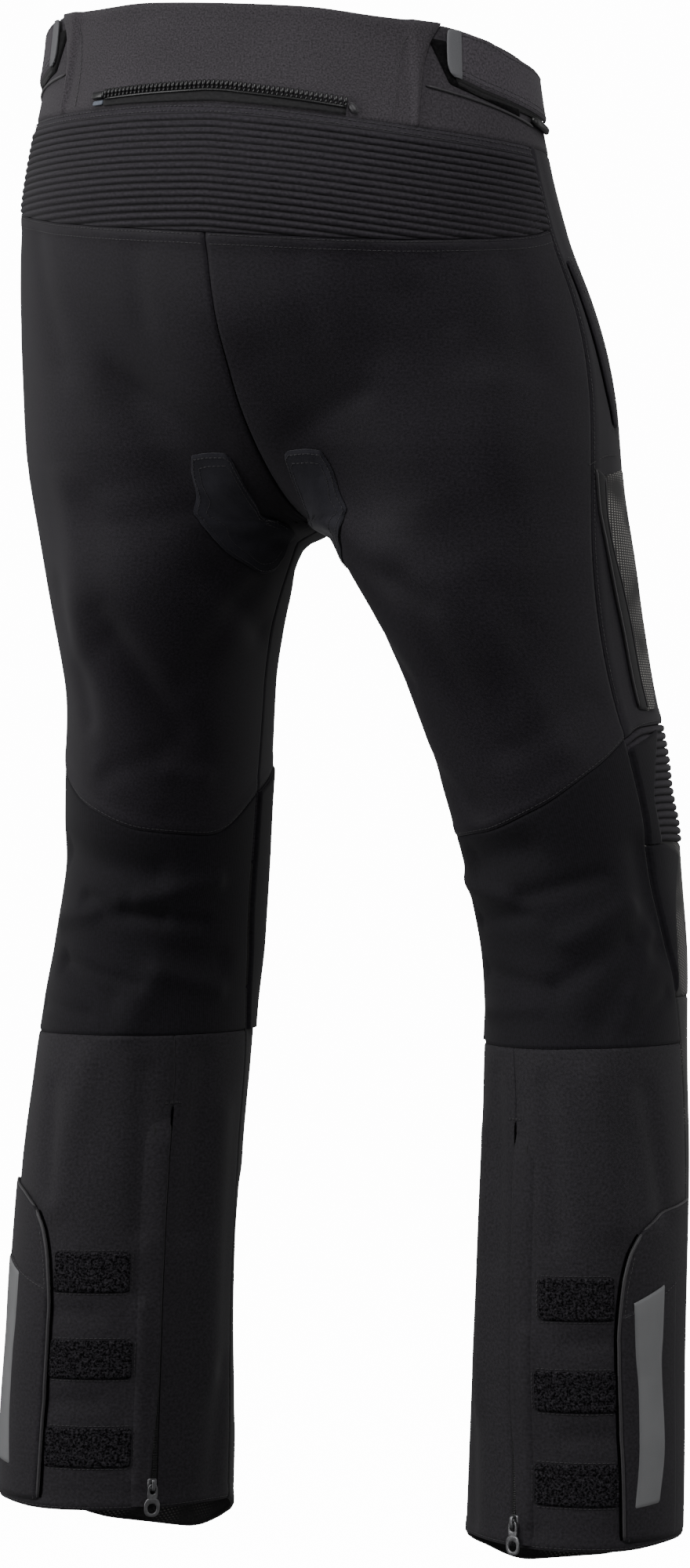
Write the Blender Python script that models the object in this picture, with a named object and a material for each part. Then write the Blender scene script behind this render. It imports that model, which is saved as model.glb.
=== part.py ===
"""Motorcycle trousers, worn and hollow, made panel by panel at real size.

Metres, +Z up. The wearer faces -Y, and the wearer's left is +X. The origin is the middle of the
waist, where the wearer's body holds the garment.
Every cloth piece is cut from one surface, form(leg, around, height). leg is 1 for the wearer's
left and -1 for the right. around runs from 0 at the centre back, or at the inseam of a leg,
through 0.5 at the outer side to 1 at the centre front, or at the inseam again.
"""
import math

import bmesh
import bpy
import numpy as np
from mathutils import Matrix, Vector

# Driving dimensions
CLOTH = 0.0018
BAND_CLOTH = 0.0024
SHIELD_CLOTH = 0.0030
PATCH_CLOTH = 0.0010
FLAP_CLOTH = 0.0016
SEAM_GAP = 0.0003
LIFT = 0.0004
PANEL_SPAN = 0.46
LEG_SPAN = 0.48
CROTCH_HEIGHT = -0.285
RISE_START = -0.080
RISE_POWER = 2.2
RISE_REACH = 3
WAIST_ROLL = 0.10
ROLL_TOP = -0.100
CALF_TWIST = 0.045
TWIST_TOP = -0.520
TWIST_END = -0.680
YOKE_RIBS = 17
YOKE_RIB_RISE = 0.0016
ACCORDION_RIBS = 14
ACCORDION_RIB_RISE = 0.0020
SIDE_SEAM = 0.4583
BAND_EDGE = 0.25
SIDE_BAND_END = 0.60
LEFT_STRIP_SHIFT = 0.045
ZIP_AROUND = 0.145
STRAP_CLOTH = 0.0016
STRAP_END_THICKNESS = 0.0020
BUCKLE_THICKNESS = 0.0040
REAR_ZIP_FIRST = -0.160
REAR_ZIP_LAST = 0.165
REAR_ZIP_RISE = 0.0115
REAR_ZIP_SLOPE = -0.018
REAR_ZIP_WIDTH = 0.0065
REAR_ZIP_THICKNESS = 0.0034
SNAP_BASE_RADIUS = 0.0075
SNAP_TOP_RADIUS = 0.0060
SNAP_THICKNESS = 0.0026
SNAP_AROUND = 0.962
SNAP_HEIGHT = -0.021

# height, half_width, back_depth, front_depth, centre_y
TRUNK = np.array([
    (0.060, 0.170, 0.102, 0.101, 0.010),
    (0.005, 0.177, 0.108, 0.106, 0.010),
    (-0.038, 0.185, 0.124, 0.109, 0.008),
    (-0.080, 0.194, 0.142, 0.112, 0.001),
    (-0.123, 0.204, 0.151, 0.114, -0.012),
    (-0.166, 0.210, 0.157, 0.114, -0.023),
    (-0.208, 0.213, 0.158, 0.116, -0.034),
    (-0.285, 0.216, 0.146, 0.118, -0.054),
])

# height, centre_x, centre_y, inner_width, outer_width, back_depth, front_depth, shear
LEG = np.array([
    (-0.240, 0.117, -0.043, 0.113, 0.096, 0.118, 0.102, 0.0000),
    (-0.285, 0.118, -0.048, 0.118, 0.094, 0.103, 0.107, -0.0060),
    (-0.298, 0.118, -0.051, 0.096, 0.0945, 0.108, 0.104, -0.0125),
    (-0.353, 0.130, -0.072, 0.080, 0.080, 0.115, 0.110, -0.0130),
    (-0.398, 0.138, -0.090, 0.073, 0.073, 0.107, 0.106, -0.0125),
    (-0.442, 0.146, -0.102, 0.072, 0.072, 0.100, 0.104, -0.0095),
    (-0.486, 0.153, -0.111, 0.071, 0.071, 0.093, 0.102, -0.0070),
    (-0.530, 0.158, -0.118, 0.069, 0.069, 0.088, 0.099, -0.0035),
    (-0.575, 0.164, -0.119, 0.069, 0.069, 0.086, 0.097, 0.0020),
    (-0.619, 0.168, -0.114, 0.069, 0.069, 0.087, 0.093, 0.0055),
    (-0.663, 0.170, -0.109, 0.070, 0.070, 0.090, 0.088, 0.0070),
    (-0.730, 0.173, -0.100, 0.072, 0.072, 0.090, 0.083, 0.0077),
    (-0.840, 0.174, -0.086, 0.074, 0.074, 0.085, 0.080, 0.0092),
    (-0.928, 0.174, -0.078, 0.076, 0.076, 0.080, 0.080, 0.0130),
    (-1.020, 0.174, -0.070, 0.077, 0.077, 0.078, 0.079, 0.0140),
])

# heights of the seams that run round the garment, one row for each place around it
SEAM_NAMES = ("waist_top", "waist_seam", "yoke_end", "thigh_end", "accordion_end", "shield_end",
              "knee_end", "hem")
# around, then the eight heights named above
SEAMS = np.array([
    (0.0, 0.047, -0.0200, -0.1065, -0.470, -0.520, -0.610, -0.641, -0.972),
    (0.1, 0.047, -0.0225, -0.1055, -0.500, -0.525, -0.610, -0.641, -0.970),
    (0.2, 0.044, -0.0255, -0.1025, -0.497, -0.525, -0.610, -0.641, -0.970),
    (0.3, 0.042, -0.0275, -0.0965, -0.481, -0.520, -0.610, -0.640, -0.970),
    (0.4, 0.035, -0.0280, -0.0885, -0.453, -0.509, -0.609, -0.640, -0.968),
    (0.5, 0.027, -0.0280, -0.0785, -0.425, -0.503, -0.609, -0.640, -0.970),
    (0.6, 0.020, -0.0300, -0.0785, -0.422, -0.505, -0.614, -0.640, -0.985),
    (0.7, 0.013, -0.0340, -0.0785, -0.424, -0.506, -0.618, -0.640, -1.002),
    (0.8, 0.007, -0.0380, -0.0785, -0.430, -0.506, -0.618, -0.640, -1.006),
    (0.9, 0.002, -0.0420, -0.0785, -0.447, -0.512, -0.613, -0.640, -0.990),
    (1.0, 0.000, -0.0440, -0.0785, -0.470, -0.520, -0.610, -0.641, -0.972),
])

# the largest folds: leg (0 is both), around, height, run_around, run_height, half_width, rise
FOLDS = np.array([
    (1, 0.38, -0.512, -0.20, -0.016, 0.012, -0.0045),
    (1, 0.22, -0.635, -0.06, 0.045, 0.012, 0.0030),
    (1, 0.15, -0.585, -0.08, -0.004, 0.010, -0.0025),
    (-1, 0.16, -0.516, 0.11, 0.008, 0.012, -0.0045),
    (-1, 0.30, -0.625, 0.11, 0.055, 0.012, -0.0040),
    (-1, 0.44, -0.510, 0.00, -0.065, 0.012, -0.0035),
    (1, 0.26, -0.370, -0.10, -0.055, 0.016, -0.0050),
    (1, 0.17, -0.215, -0.04, -0.100, 0.020, -0.0050),
    (-1, 0.32, -0.200, 0.03, -0.110, 0.020, 0.0040),
    (0, 0.60, -0.470, 0.12, -0.020, 0.014, -0.0030),
    (0, 0.62, -0.230, 0.20, 0.030, 0.016, -0.0040),
])

# places around at which every panel has a column of points
BACK_COLUMNS = (0.0, 0.05, 0.10, 0.145, 0.18, 0.215, 0.25, 0.29, 0.33, 0.37, 0.415, SIDE_SEAM)
FRONT_COLUMNS = (SIDE_SEAM, 0.50, 0.5417, 0.60, 0.66, 0.72, 0.78, 0.84, 0.90, 0.95, 1.0)

# outlines of the pieces that lie on a panel, on the wearer's left: around, height
OUTLINES = {
    "waist_loop": [(0.272, 0.033), (0.440, 0.027), (0.440, -0.010), (0.295, 0.003)],
    "waist_strap": [(0.325, 0.0390), (0.377, 0.0355), (0.552, 0.0225), (0.552, -0.0085),
                    (0.320, 0.0075)],
    "strap_end": [(0.300, 0.0320), (0.302, 0.0380), (0.308, 0.0400), (0.324, 0.0391),
                  (0.319, 0.0075), (0.308, 0.0085), (0.302, 0.0110), (0.2985, 0.0170)],
    "strap_buckle": [(0.462, -0.0072), (0.548, -0.0125), (0.548, -0.0175), (0.466, -0.0135)],
    "inner_patch": [(0.058, -0.2440), (0.108, -0.2450), (0.136, -0.2600), (0.150, -0.2780),
                    (0.150, -0.2900), (0.136, -0.3020), (0.082, -0.3140), (0.046, -0.3190),
                    (0.026, -0.3130), (0.026, -0.2990), (0.046, -0.2890)],
    "pocket_welt": [(0.476, -0.1000), (0.490, -0.0990), (0.518, -0.1800), (0.522, -0.2200),
                    (0.508, -0.2210), (0.494, -0.1850)],
    "side_print": [(0.468, -0.2600), (0.536, -0.2500), (0.560, -0.3300), (0.560, -0.3900),
                   (0.545, -0.4120), (0.500, -0.4140), (0.480, -0.3400)],
    "fly": [(0.992, -0.0460), (0.930, -0.0450), (0.930, -0.1500), (0.945, -0.1800),
            (0.992, -0.2050)],
    "storm_flap": [(0.310, -0.8100), (0.322, -0.7780), (0.345, -0.7620), (0.400, -0.7500),
                   (0.455, -0.7450), (0.455, -0.9600), (0.312, -0.9600)],
    "reflective_strip": [(0.330, -0.8070), (0.386, -0.7960), (0.380, -0.9400), (0.326, -0.9400)],
}

# the loop patches on each calf: places around of their sides, then top and bottom heights
LOOP_SIDES = (0.198, 0.302)
LOOP_HEIGHTS = ((-0.791, -0.818), (-0.852, -0.878), (-0.913, -0.940))

# colour, roughness, metallic
FINISHES = {
    "shell": ((0.020, 0.020, 0.022), 0.75, 0.0),
    "calf_shell": ((0.038, 0.038, 0.040), 0.80, 0.0),
    "stretch": ((0.012, 0.012, 0.013), 0.85, 0.0),
    "band": ((0.035, 0.033, 0.032), 0.85, 0.0),
    "suede": ((0.030, 0.033, 0.038), 0.95, 0.0),
    "print": ((0.110, 0.110, 0.115), 0.70, 0.0),
    "loop": ((0.008, 0.008, 0.009), 1.00, 0.0),
    "reflective": ((0.360, 0.370, 0.380), 0.45, 0.0),
    "moulded": ((0.250, 0.250, 0.260), 0.50, 0.0),
    "gloss_black": ((0.010, 0.010, 0.012), 0.25, 0.0),
    "metal": ((0.550, 0.550, 0.570), 0.30, 1.0),
}


def clear_scene():
    """Removes the objects that a new file holds."""
    for item in list(bpy.data.objects):
        bpy.data.objects.remove(item)


def smooth(known, values, wanted):
    """Smooth curve through values at the rising places known, with no overshoot."""
    step = np.diff(known)
    grade = np.diff(values) / step
    tangent = np.concatenate([grade[:1], np.zeros(len(known) - 2), grade[-1:]])
    product = grade[:-1] * grade[1:]
    total = np.where(product > 0, grade[:-1] + grade[1:], 1.0)
    tangent[1:-1] = np.where(product > 0, 2 * product / total, 0.0)
    wanted = np.clip(wanted, known[0], known[-1])
    k = np.clip(np.searchsorted(known, wanted, side="right") - 1, 0, len(known) - 2)
    t = (wanted - known[k]) / step[k]
    ends = values[k] * (1 + 2 * t) * (1 - t) ** 2 + values[k + 1] * t * t * (3 - 2 * t)
    pulls = tangent[k] * t * (1 - t) ** 2 + tangent[k + 1] * t * t * (t - 1)
    return ends + pulls * step[k]


def ease(start, end, value):
    """0 at start and 1 at end, with a smooth ramp between."""
    t = np.clip((value - start) / (end - start), 0, 1)
    return t * t * (3 - 2 * t)


def section(table, height):
    """The sizes of a table of sections at the given heights, one array for each column."""
    rising = table[::-1]
    return [smooth(rising[:, 0], rising[:, c], height) for c in range(1, table.shape[1])]


def plain_form(leg, around, height):
    """The garment with no folds: a half ellipse for the trunk that turns into a leg's ring.

    Between the start of the rise and the crotch the two are mixed. By the centre seams the share
    of the ring grows as a quarter ellipse does, so that they curve under the body as a rise does,
    and further round it grows evenly."""
    turned = around - leg * CALF_TWIST * ease(TWIST_TOP, TWIST_END, height)
    half_width, back, front, trunk_y = section(TRUNK, height)
    half_turn = math.pi * turned
    depth = np.where(np.cos(half_turn) > 0, back, front)
    trunk_x = half_width * np.sin(half_turn)
    trunk_y = trunk_y + depth * np.cos(half_turn)
    centre_x, centre_y, inner_width, outer_width, back, front, shear = section(LEG, height)
    turn = 2 * math.pi * turned
    depth = np.where(np.sin(turn) > 0, back, front)
    half_width = np.where(np.cos(turn) > 0, inner_width, outer_width)
    leg_x = centre_x - half_width * np.cos(turn) + shear * np.sin(turn)
    leg_y = centre_y + depth * np.sin(turn)
    drop = np.clip((RISE_START - height) / (RISE_START - CROTCH_HEIGHT), 0, 1)
    near_centre = np.cos(half_turn) ** 2
    by_seam = near_centre ** RISE_REACH
    share = by_seam * (1 - (1 - drop ** RISE_POWER) ** (1 / RISE_POWER))
    share = share + (1 - by_seam) * ease(RISE_START, CROTCH_HEIGHT, height)
    inner = np.where(drop < 1, centre_x - inner_width, 0.0)
    x = (1 - share) * trunk_x + share * (leg_x - inner * near_centre)
    x = np.where(turned > 0, np.maximum(x, 0.55 * SEAM_GAP), x)
    y = (1 - share) * trunk_y + share * leg_y
    z = height + WAIST_ROLL * ease(CROTCH_HEIGHT, ROLL_TOP, height) * x * leg
    return np.stack([x * leg, y, z], -1)


def outward(surface, leg, around, height):
    """Unit normals of a surface, pointing out of the garment."""
    reach = 0.002
    across = surface(leg, around + reach, height) - surface(leg, around - reach, height)
    along = surface(leg, around, height + reach) - surface(leg, around, height - reach)
    normal = np.cross(across, along) * -np.asarray(leg)[..., None]
    return normal / np.linalg.norm(normal, axis=-1, keepdims=True)


def fold_rise(leg, around, height):
    """How far the folds lift or sink the cloth: soft ridges and troughs along short lines."""
    rise = np.zeros_like(height)
    for which, start_around, start_height, run_around, run_height, half_width, size in FOLDS:
        run = np.array([run_around * LEG_SPAN, run_height])
        away = np.stack([(around - start_around) * LEG_SPAN, height - start_height], -1)
        share = np.clip(away @ run / (run @ run), 0, 1)
        distance = np.linalg.norm(away - share[..., None] * run, axis=-1)
        here = np.where((which == 0) | (leg == which), size, 0.0)
        rise = rise + here * np.exp(-(distance / half_width) ** 2)
    return rise


def form(leg, around, height):
    """The garment's outer surface with its largest folds."""
    lifted = fold_rise(leg, around, height)[..., None]
    return plain_form(leg, around, height) + lifted * outward(plain_form, leg, around, height)


def seam_height(name, around):
    """Height of a seam that runs round the garment, at the given places around."""
    return smooth(SEAMS[:, 0], SEAMS[:, 1 + SEAM_NAMES.index(name)], np.abs(around))


def column_places(first, last):
    """The columns of points from one place around to another, with half a seam gap left."""
    every = sorted(set(BACK_COLUMNS) | set(FRONT_COLUMNS))
    every = sorted({-place for place in every} | set(every))
    inside = [place for place in every if first - 1e-6 < place < last + 1e-6]
    half_gap = SEAM_GAP / 2 / PANEL_SPAN
    return np.array([inside[0] + half_gap] + inside[1:-1] + [inside[-1] - half_gap])


def graded(rows, closer_to):
    """Shares from 0 to 1: even, or closer together towards the start or the end."""
    even = np.linspace(0, 1, rows + 1)
    if closer_to == "end":
        return np.sin(even * math.pi / 2)
    if closer_to == "start":
        return 1 - np.cos(even * math.pi / 2)
    return even


def panel_rows(places, stretches):
    """Heights of a panel's points. Each stretch is from one seam to the next, or to a height."""
    rows = []
    for number, (start, end, count, closer_to) in enumerate(stretches):
        top = seam_height(start, places) if isinstance(start, str) else np.full(len(places), start)
        bottom = seam_height(end, places) if isinstance(end, str) else np.full(len(places), end)
        if number == 0:
            top = top - SEAM_GAP / 2
        if number == len(stretches) - 1:
            bottom = bottom + SEAM_GAP / 2
        shares = graded(count, closer_to)
        for share in shares if number == 0 else shares[1:]:
            rows.append(top + share * (bottom - top))
    return np.array(rows)


def make_panel(first, last, leg, stretches):
    """A panel's points and normals on a grid of rows and columns."""
    places = column_places(first, last)
    heights = panel_rows(places, stretches)
    around = np.broadcast_to(np.abs(places), heights.shape)
    if leg == 0:
        legs = np.broadcast_to(np.where(places < 0, -1.0, 1.0), heights.shape)
    else:
        legs = np.full(heights.shape, float(leg))
    return {
        "around": np.broadcast_to(places, heights.shape),
        "height": heights,
        "point": form(legs, around, heights),
        "normal": outward(form, legs, around, heights),
    }


def finish_of(name):
    """The material of a finish, made once."""
    if name in bpy.data.materials:
        return bpy.data.materials[name]
    colour, roughness, metallic = FINISHES[name]
    material = bpy.data.materials.new(name)
    material.use_nodes = True
    shader = material.node_tree.nodes["Principled BSDF"]
    shader.inputs["Base Color"].default_value = (*colour, 1)
    shader.inputs["Roughness"].default_value = roughness
    shader.inputs["Metallic"].default_value = metallic
    return material


def finish_object(name, bm, finish):
    """Closes a bmesh into a named object whose faces point out."""
    bmesh.ops.triangulate(bm, faces=bm.faces[:], quad_method="FIXED", ngon_method="BEAUTY")
    bmesh.ops.recalc_face_normals(bm, faces=bm.faces[:])
    mesh = bpy.data.meshes.new(name)
    bm.to_mesh(mesh)
    bm.free()
    item = bpy.data.objects.new(name, mesh)
    bpy.context.collection.objects.link(item)
    mesh.materials.append(finish_of(finish))
    return item


def make_wall(name, panel, thickness, finish, ribs=0, rib_rise=0.0):
    """A panel as a wall. Ribs raise every second row of its outer points over a plain inside."""
    point, normal = panel["point"], panel["normal"]
    rows, columns = point.shape[:2]
    rise = np.zeros(rows)
    if ribs:
        rise[1::2] = rib_rise
    outer_points = point + normal * rise[:, None, None]
    inner_points = point - normal * thickness
    bm = bmesh.new()
    outer = [[bm.verts.new(p) for p in row] for row in outer_points]
    inner_rows = sorted({0, rows // 2, rows - 1}) if ribs else list(range(rows))
    inner = {r: [bm.verts.new(p) for p in inner_points[r]] for r in inner_rows}
    for r in range(rows - 1):
        for c in range(columns - 1):
            a, b = outer[r][c], outer[r][c + 1]
            d, e = outer[r + 1][c], outer[r + 1][c + 1]
            bm.faces.new((a, b, e))
            bm.faces.new((a, e, d))
    for top, bottom in zip(inner_rows, inner_rows[1:]):
        for c in range(columns - 1):
            a, b = inner[top][c], inner[top][c + 1]
            d, e = inner[bottom][c], inner[bottom][c + 1]
            bm.faces.new((a, e, b))
            bm.faces.new((a, d, e))
        for c in (0, columns - 1):
            edge = [outer[r][c] for r in range(top, bottom + 1)]
            bm.faces.new(edge + [inner[bottom][c], inner[top][c]])
    for r in (0, rows - 1):
        for c in range(columns - 1):
            bm.faces.new((outer[r][c], outer[r][c + 1], inner[r][c + 1], inner[r][c]))
    return finish_object(name, bm, finish)


def cut_from(name, panel, outline, lift, thickness, finish, leg=1):
    """A piece that lies on a panel: the panel's own facets inside a convex outline, moved out.

    The outline is a list of (around, height). The panel is laid out flat, trimmed along each side
    of the outline, and put back on the garment with the given lift."""
    bm = bmesh.new()
    point_layer = bm.verts.layers.float_vector.new("point")
    normal_layer = bm.verts.layers.float_vector.new("normal")
    rows, columns = panel["height"].shape
    grid = []
    for r in range(rows):
        line = []
        for c in range(columns):
            vertex = bm.verts.new((panel["around"][r, c] * PANEL_SPAN, panel["height"][r, c], 0))
            vertex[point_layer] = Vector(panel["point"][r, c])
            vertex[normal_layer] = Vector(panel["normal"][r, c])
            line.append(vertex)
        grid.append(line)
    for r in range(rows - 1):
        for c in range(columns - 1):
            bm.faces.new((grid[r][c], grid[r][c + 1], grid[r + 1][c + 1]))
            bm.faces.new((grid[r][c], grid[r + 1][c + 1], grid[r + 1][c]))
    corners = [Vector((leg * around * PANEL_SPAN, height, 0)) for around, height in outline]
    middle = sum(corners, Vector()) / len(corners)
    for start, end in zip(corners, corners[1:] + corners[:1]):
        side = end - start
        away = Vector((side.y, -side.x, 0)).normalized()
        if away.dot(start - middle) < 0:
            away.negate()
        every = bm.verts[:] + bm.edges[:] + bm.faces[:]
        bmesh.ops.bisect_plane(bm, geom=every, dist=1e-6, plane_co=start, plane_no=away,
                               clear_outer=True)
    bm.verts.index_update()
    solid = bmesh.new()
    low, high = [], []
    for vertex in bm.verts:
        low.append(solid.verts.new(vertex[point_layer] + vertex[normal_layer] * lift))
        high.append(solid.verts.new(vertex[point_layer] + vertex[normal_layer] * (lift + thickness)))
    for face in bm.faces:
        numbers = [vertex.index for vertex in face.verts]
        solid.faces.new([high[n] for n in numbers])
        solid.faces.new([low[n] for n in reversed(numbers)])
    for edge in bm.edges:
        if edge.is_boundary:
            a, b = (vertex.index for vertex in edge.verts)
            solid.faces.new((low[a], low[b], high[b], high[a]))
    bm.free()
    return finish_object(name, solid, finish)


def on_panel(panel, around, height):
    """Point and normal on a panel's facets, from the columns of points on either side."""
    places = panel["around"][0]
    right = int(np.clip(np.searchsorted(places, around), 1, len(places) - 1))
    share = (around - places[right - 1]) / (places[right] - places[right - 1])
    found = []
    for key in ("point", "normal"):
        ends = []
        for c in (right - 1, right):
            down = -panel["height"][:, c]
            ends.append([np.interp(-height, down, panel[key][:, c, k]) for k in range(3)])
        found.append(Vector(ends[0]).lerp(Vector(ends[1]), share))
    return found


def make_band(name, panel, first, last, middle_height, width, thickness, finish):
    """A narrow band along a panel, at a height given by a function of around."""
    inside = [place for place in panel["around"][0] if first < place < last]
    bm = bmesh.new()
    rings = []
    for place in [first, *inside, last]:
        ring = []
        for side, out in ((1, LIFT), (1, thickness), (-1, thickness), (-1, LIFT)):
            height = middle_height(abs(place)) + side * width / 2
            point, normal = on_panel(panel, place, height)
            ring.append(bm.verts.new(point + normal * out))
        rings.append(ring)
    for one, two in zip(rings, rings[1:]):
        for k in range(4):
            bm.faces.new((one[k], one[(k + 1) % 4], two[(k + 1) % 4], two[k]))
    bm.faces.new(rings[0])
    bm.faces.new(rings[-1])
    return finish_object(name, bm, finish)


def surface_frame(leg, around, height, lift):
    """A frame on the cloth: X round the garment, Z out of it and Y up along the cloth."""
    one_leg, place, level = np.array(float(leg)), np.array(around), np.array(height)
    out = Vector(outward(form, one_leg, place, level))
    up = Vector(form(one_leg, place, level + 0.004) - form(one_leg, place, level - 0.004))
    up = (up - up.dot(out) * out).normalized()
    across = up.cross(out)
    frame = Matrix((across, up, out)).transposed().to_4x4()
    frame.translation = Vector(form(one_leg, place, level)) + lift * out
    return frame


def add_frame_prism(bm, outer, inner, low, high, axes):
    """A flat frame with a rectangular window. axes orders its two flat axes and its thickness."""
    corners = ((0, 2), (1, 2), (1, 3), (0, 3))
    rings = []
    for rectangle in (outer, inner):
        for level in (low, high):
            ring = []
            for a, b in corners:
                place = [0.0, 0.0, 0.0]
                place[axes[0]] = rectangle[a]
                place[axes[1]] = rectangle[b]
                place[axes[2]] = level
                ring.append(bm.verts.new(place))
            rings.append(ring)
    outer_low, outer_high, inner_low, inner_high = rings
    for k in range(4):
        n = (k + 1) % 4
        bm.faces.new((outer_low[k], outer_low[n], outer_high[n], outer_high[k]))
        bm.faces.new((inner_low[k], inner_high[k], inner_high[n], inner_low[n]))
        bm.faces.new((outer_high[k], outer_high[n], inner_high[n], inner_high[k]))
        bm.faces.new((outer_low[k], inner_low[k], inner_low[n], outer_low[n]))


# Zip slider and pull tab, each in the slider's own frame
SLIDER_LENGTH = 0.0084
SLIDER_WIDTH = 0.0070
SLIDER_BASE = 0.0014
BRIDGE_WIDTH = 0.0028
BRIDGE_HEIGHT = 0.0048
TUNNEL_LENGTH = 0.0040
TUNNEL_HEIGHT = 0.0024
TAB_THICKNESS = 0.0012
TAB_WIDTH = 0.0080
TAB_FLARE = 0.60
TAB_WINDOW = 0.0040
TAB_REACH = 0.0062
TAB_LENGTH = 0.0220
ZIP_TAPE_WIDTH = 0.0080
ZIP_TAPE_CLOTH = 0.0012
ZIP_TAPE_INSET = 0.001
ZIP_TOP = -0.6880
ZIP_END = -0.9660
SLIDER_HEIGHT = -0.953


def make_slider(name, frame):
    """A base plate with a bridge over it, joined by a Boolean union."""
    bm = bmesh.new()
    half = SLIDER_LENGTH / 2
    tunnel = TUNNEL_LENGTH / 2
    outer = (-half, half, SLIDER_BASE / 2, BRIDGE_HEIGHT)
    inner = (-tunnel, tunnel, SLIDER_BASE, SLIDER_BASE + TUNNEL_HEIGHT)
    add_frame_prism(bm, outer, inner, -BRIDGE_WIDTH / 2, BRIDGE_WIDTH / 2, (1, 2, 0))
    bridge = finish_object(name, bm, "metal")
    base = bmesh.new()
    bmesh.ops.create_cube(base, size=1.0)
    size = Vector((SLIDER_WIDTH, SLIDER_LENGTH + 0.0004, SLIDER_BASE))
    bmesh.ops.scale(base, vec=size, verts=base.verts[:])
    bmesh.ops.translate(base, vec=(0, 0, SLIDER_BASE / 2), verts=base.verts[:])
    plate = finish_object(name + "_plate", base, "metal")
    plate.hide_render = True
    plate.display_type = "WIRE"
    plate.matrix_world = frame
    bridge.matrix_world = frame
    union = bridge.modifiers.new("join_plate", "BOOLEAN")
    union.operation = "UNION"
    union.object = plate


def make_pull(name, frame):
    """A flat tab that widens downwards, with its upper bar in the slider's bridge.

    Its origin is on the bar."""
    bm = bmesh.new()
    bar = TAB_THICKNESS / 2
    outer = (-TAB_WIDTH / 2, TAB_WIDTH / 2, -TAB_LENGTH, bar)
    inner = (-TAB_WINDOW / 2, TAB_WINDOW / 2, -TAB_REACH, -bar)
    add_frame_prism(bm, outer, inner, -bar, bar, (0, 1, 2))
    for vertex in bm.verts:
        vertex.co.x *= 1 + TAB_FLARE * max(0.0, -vertex.co.y) / TAB_LENGTH
    tab = finish_object(name, bm, "metal")
    tab.matrix_world = frame @ Matrix.Translation((0, 0, SLIDER_BASE + TUNNEL_HEIGHT / 2))


def make_snap(name, leg, around, height):
    """A round snap cap on the front band."""
    bm = bmesh.new()
    bmesh.ops.create_cone(bm, cap_ends=True, segments=20, radius1=SNAP_BASE_RADIUS,
                          radius2=SNAP_TOP_RADIUS, depth=SNAP_THICKNESS)
    snap = finish_object(name, bm, "metal")
    snap.matrix_world = surface_frame(leg, around, height, SNAP_THICKNESS / 2 + SEAM_GAP)


def rear_zip_height(around):
    """Height of the rear zip's middle, a little above the waist seam."""
    return float(seam_height("waist_seam", np.array(around))) + REAR_ZIP_RISE + REAR_ZIP_SLOPE * around


def make_waist():
    """The band round the waist, its adjusters, rear zip, snap and fly."""
    down = [("waist_top", "waist_seam", 2, "even")]
    back = make_panel(-BAND_EDGE, BAND_EDGE, 0, down)
    make_wall("waistband_back", back, BAND_CLOTH, "band")
    make_band("rear_zip", back, REAR_ZIP_FIRST, REAR_ZIP_LAST, rear_zip_height, REAR_ZIP_WIDTH,
              REAR_ZIP_THICKNESS, "gloss_black")
    over = 2 * LIFT + PATCH_CLOTH
    for leg, side in ((1, "left"), (-1, "right")):
        panel = make_panel(*sorted((leg * BAND_EDGE, leg * SIDE_BAND_END)), leg, down)
        make_wall(f"waist_side_{side}", panel, BAND_CLOTH, "stretch")
        for name, lift, thickness, finish in (
                ("waist_loop", LIFT, PATCH_CLOTH, "loop"),
                ("waist_strap", over, STRAP_CLOTH, "stretch"),
                ("strap_end", over, STRAP_END_THICKNESS, "moulded"),
                ("strap_buckle", LIFT, BUCKLE_THICKNESS, "gloss_black")):
            cut_from(f"{name}_{side}", panel, OUTLINES[name], lift, thickness, finish, leg)
        panel = make_panel(*sorted((leg * SIDE_BAND_END, leg * 1.0)), leg, down)
        make_wall(f"waistband_front_{side}", panel, BAND_CLOTH, "band")
    make_snap("snap_button", 1, SNAP_AROUND, SNAP_HEIGHT)


def make_seat_and_thighs():
    """The ribbed yoke, the seat and front panels and what is sewn on them."""
    rows = 2 * YOKE_RIBS
    yoke = make_panel(-SIDE_SEAM, SIDE_SEAM, 0, [("waist_seam", "yoke_end", rows, "even")])
    make_wall("yoke_ribbed", yoke, CLOTH, "stretch", YOKE_RIBS, YOKE_RIB_RISE)
    seat_stretches = [("yoke_end", CROTCH_HEIGHT, 7, "end"), (CROTCH_HEIGHT, "thigh_end", 6, "start")]
    front_stretches = [("waist_seam", "yoke_end", 2, "even"), *seat_stretches]
    for leg, side in ((1, "left"), (-1, "right")):
        seat = make_panel(*sorted((0.0, leg * SIDE_SEAM)), leg, seat_stretches)
        make_wall(f"seat_{side}", seat, CLOTH, "shell")
        cut_from(f"inner_patch_{side}", seat, OUTLINES["inner_patch"], LIFT, PATCH_CLOTH, "suede", leg)
        front = make_panel(*sorted((leg * SIDE_SEAM, leg * 1.0)), leg, front_stretches)
        make_wall(f"front_{side}", front, CLOTH, "shell")
        for name, thickness, finish in (("pocket_welt", FLAP_CLOTH, "calf_shell"),
                                        ("side_print", PATCH_CLOTH, "print")):
            cut_from(f"{name}_{side}", front, OUTLINES[name], LIFT, thickness, finish, leg)
        if leg == 1:
            cut_from("fly", front, OUTLINES["fly"], LIFT, FLAP_CLOTH, "shell", leg)


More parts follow.
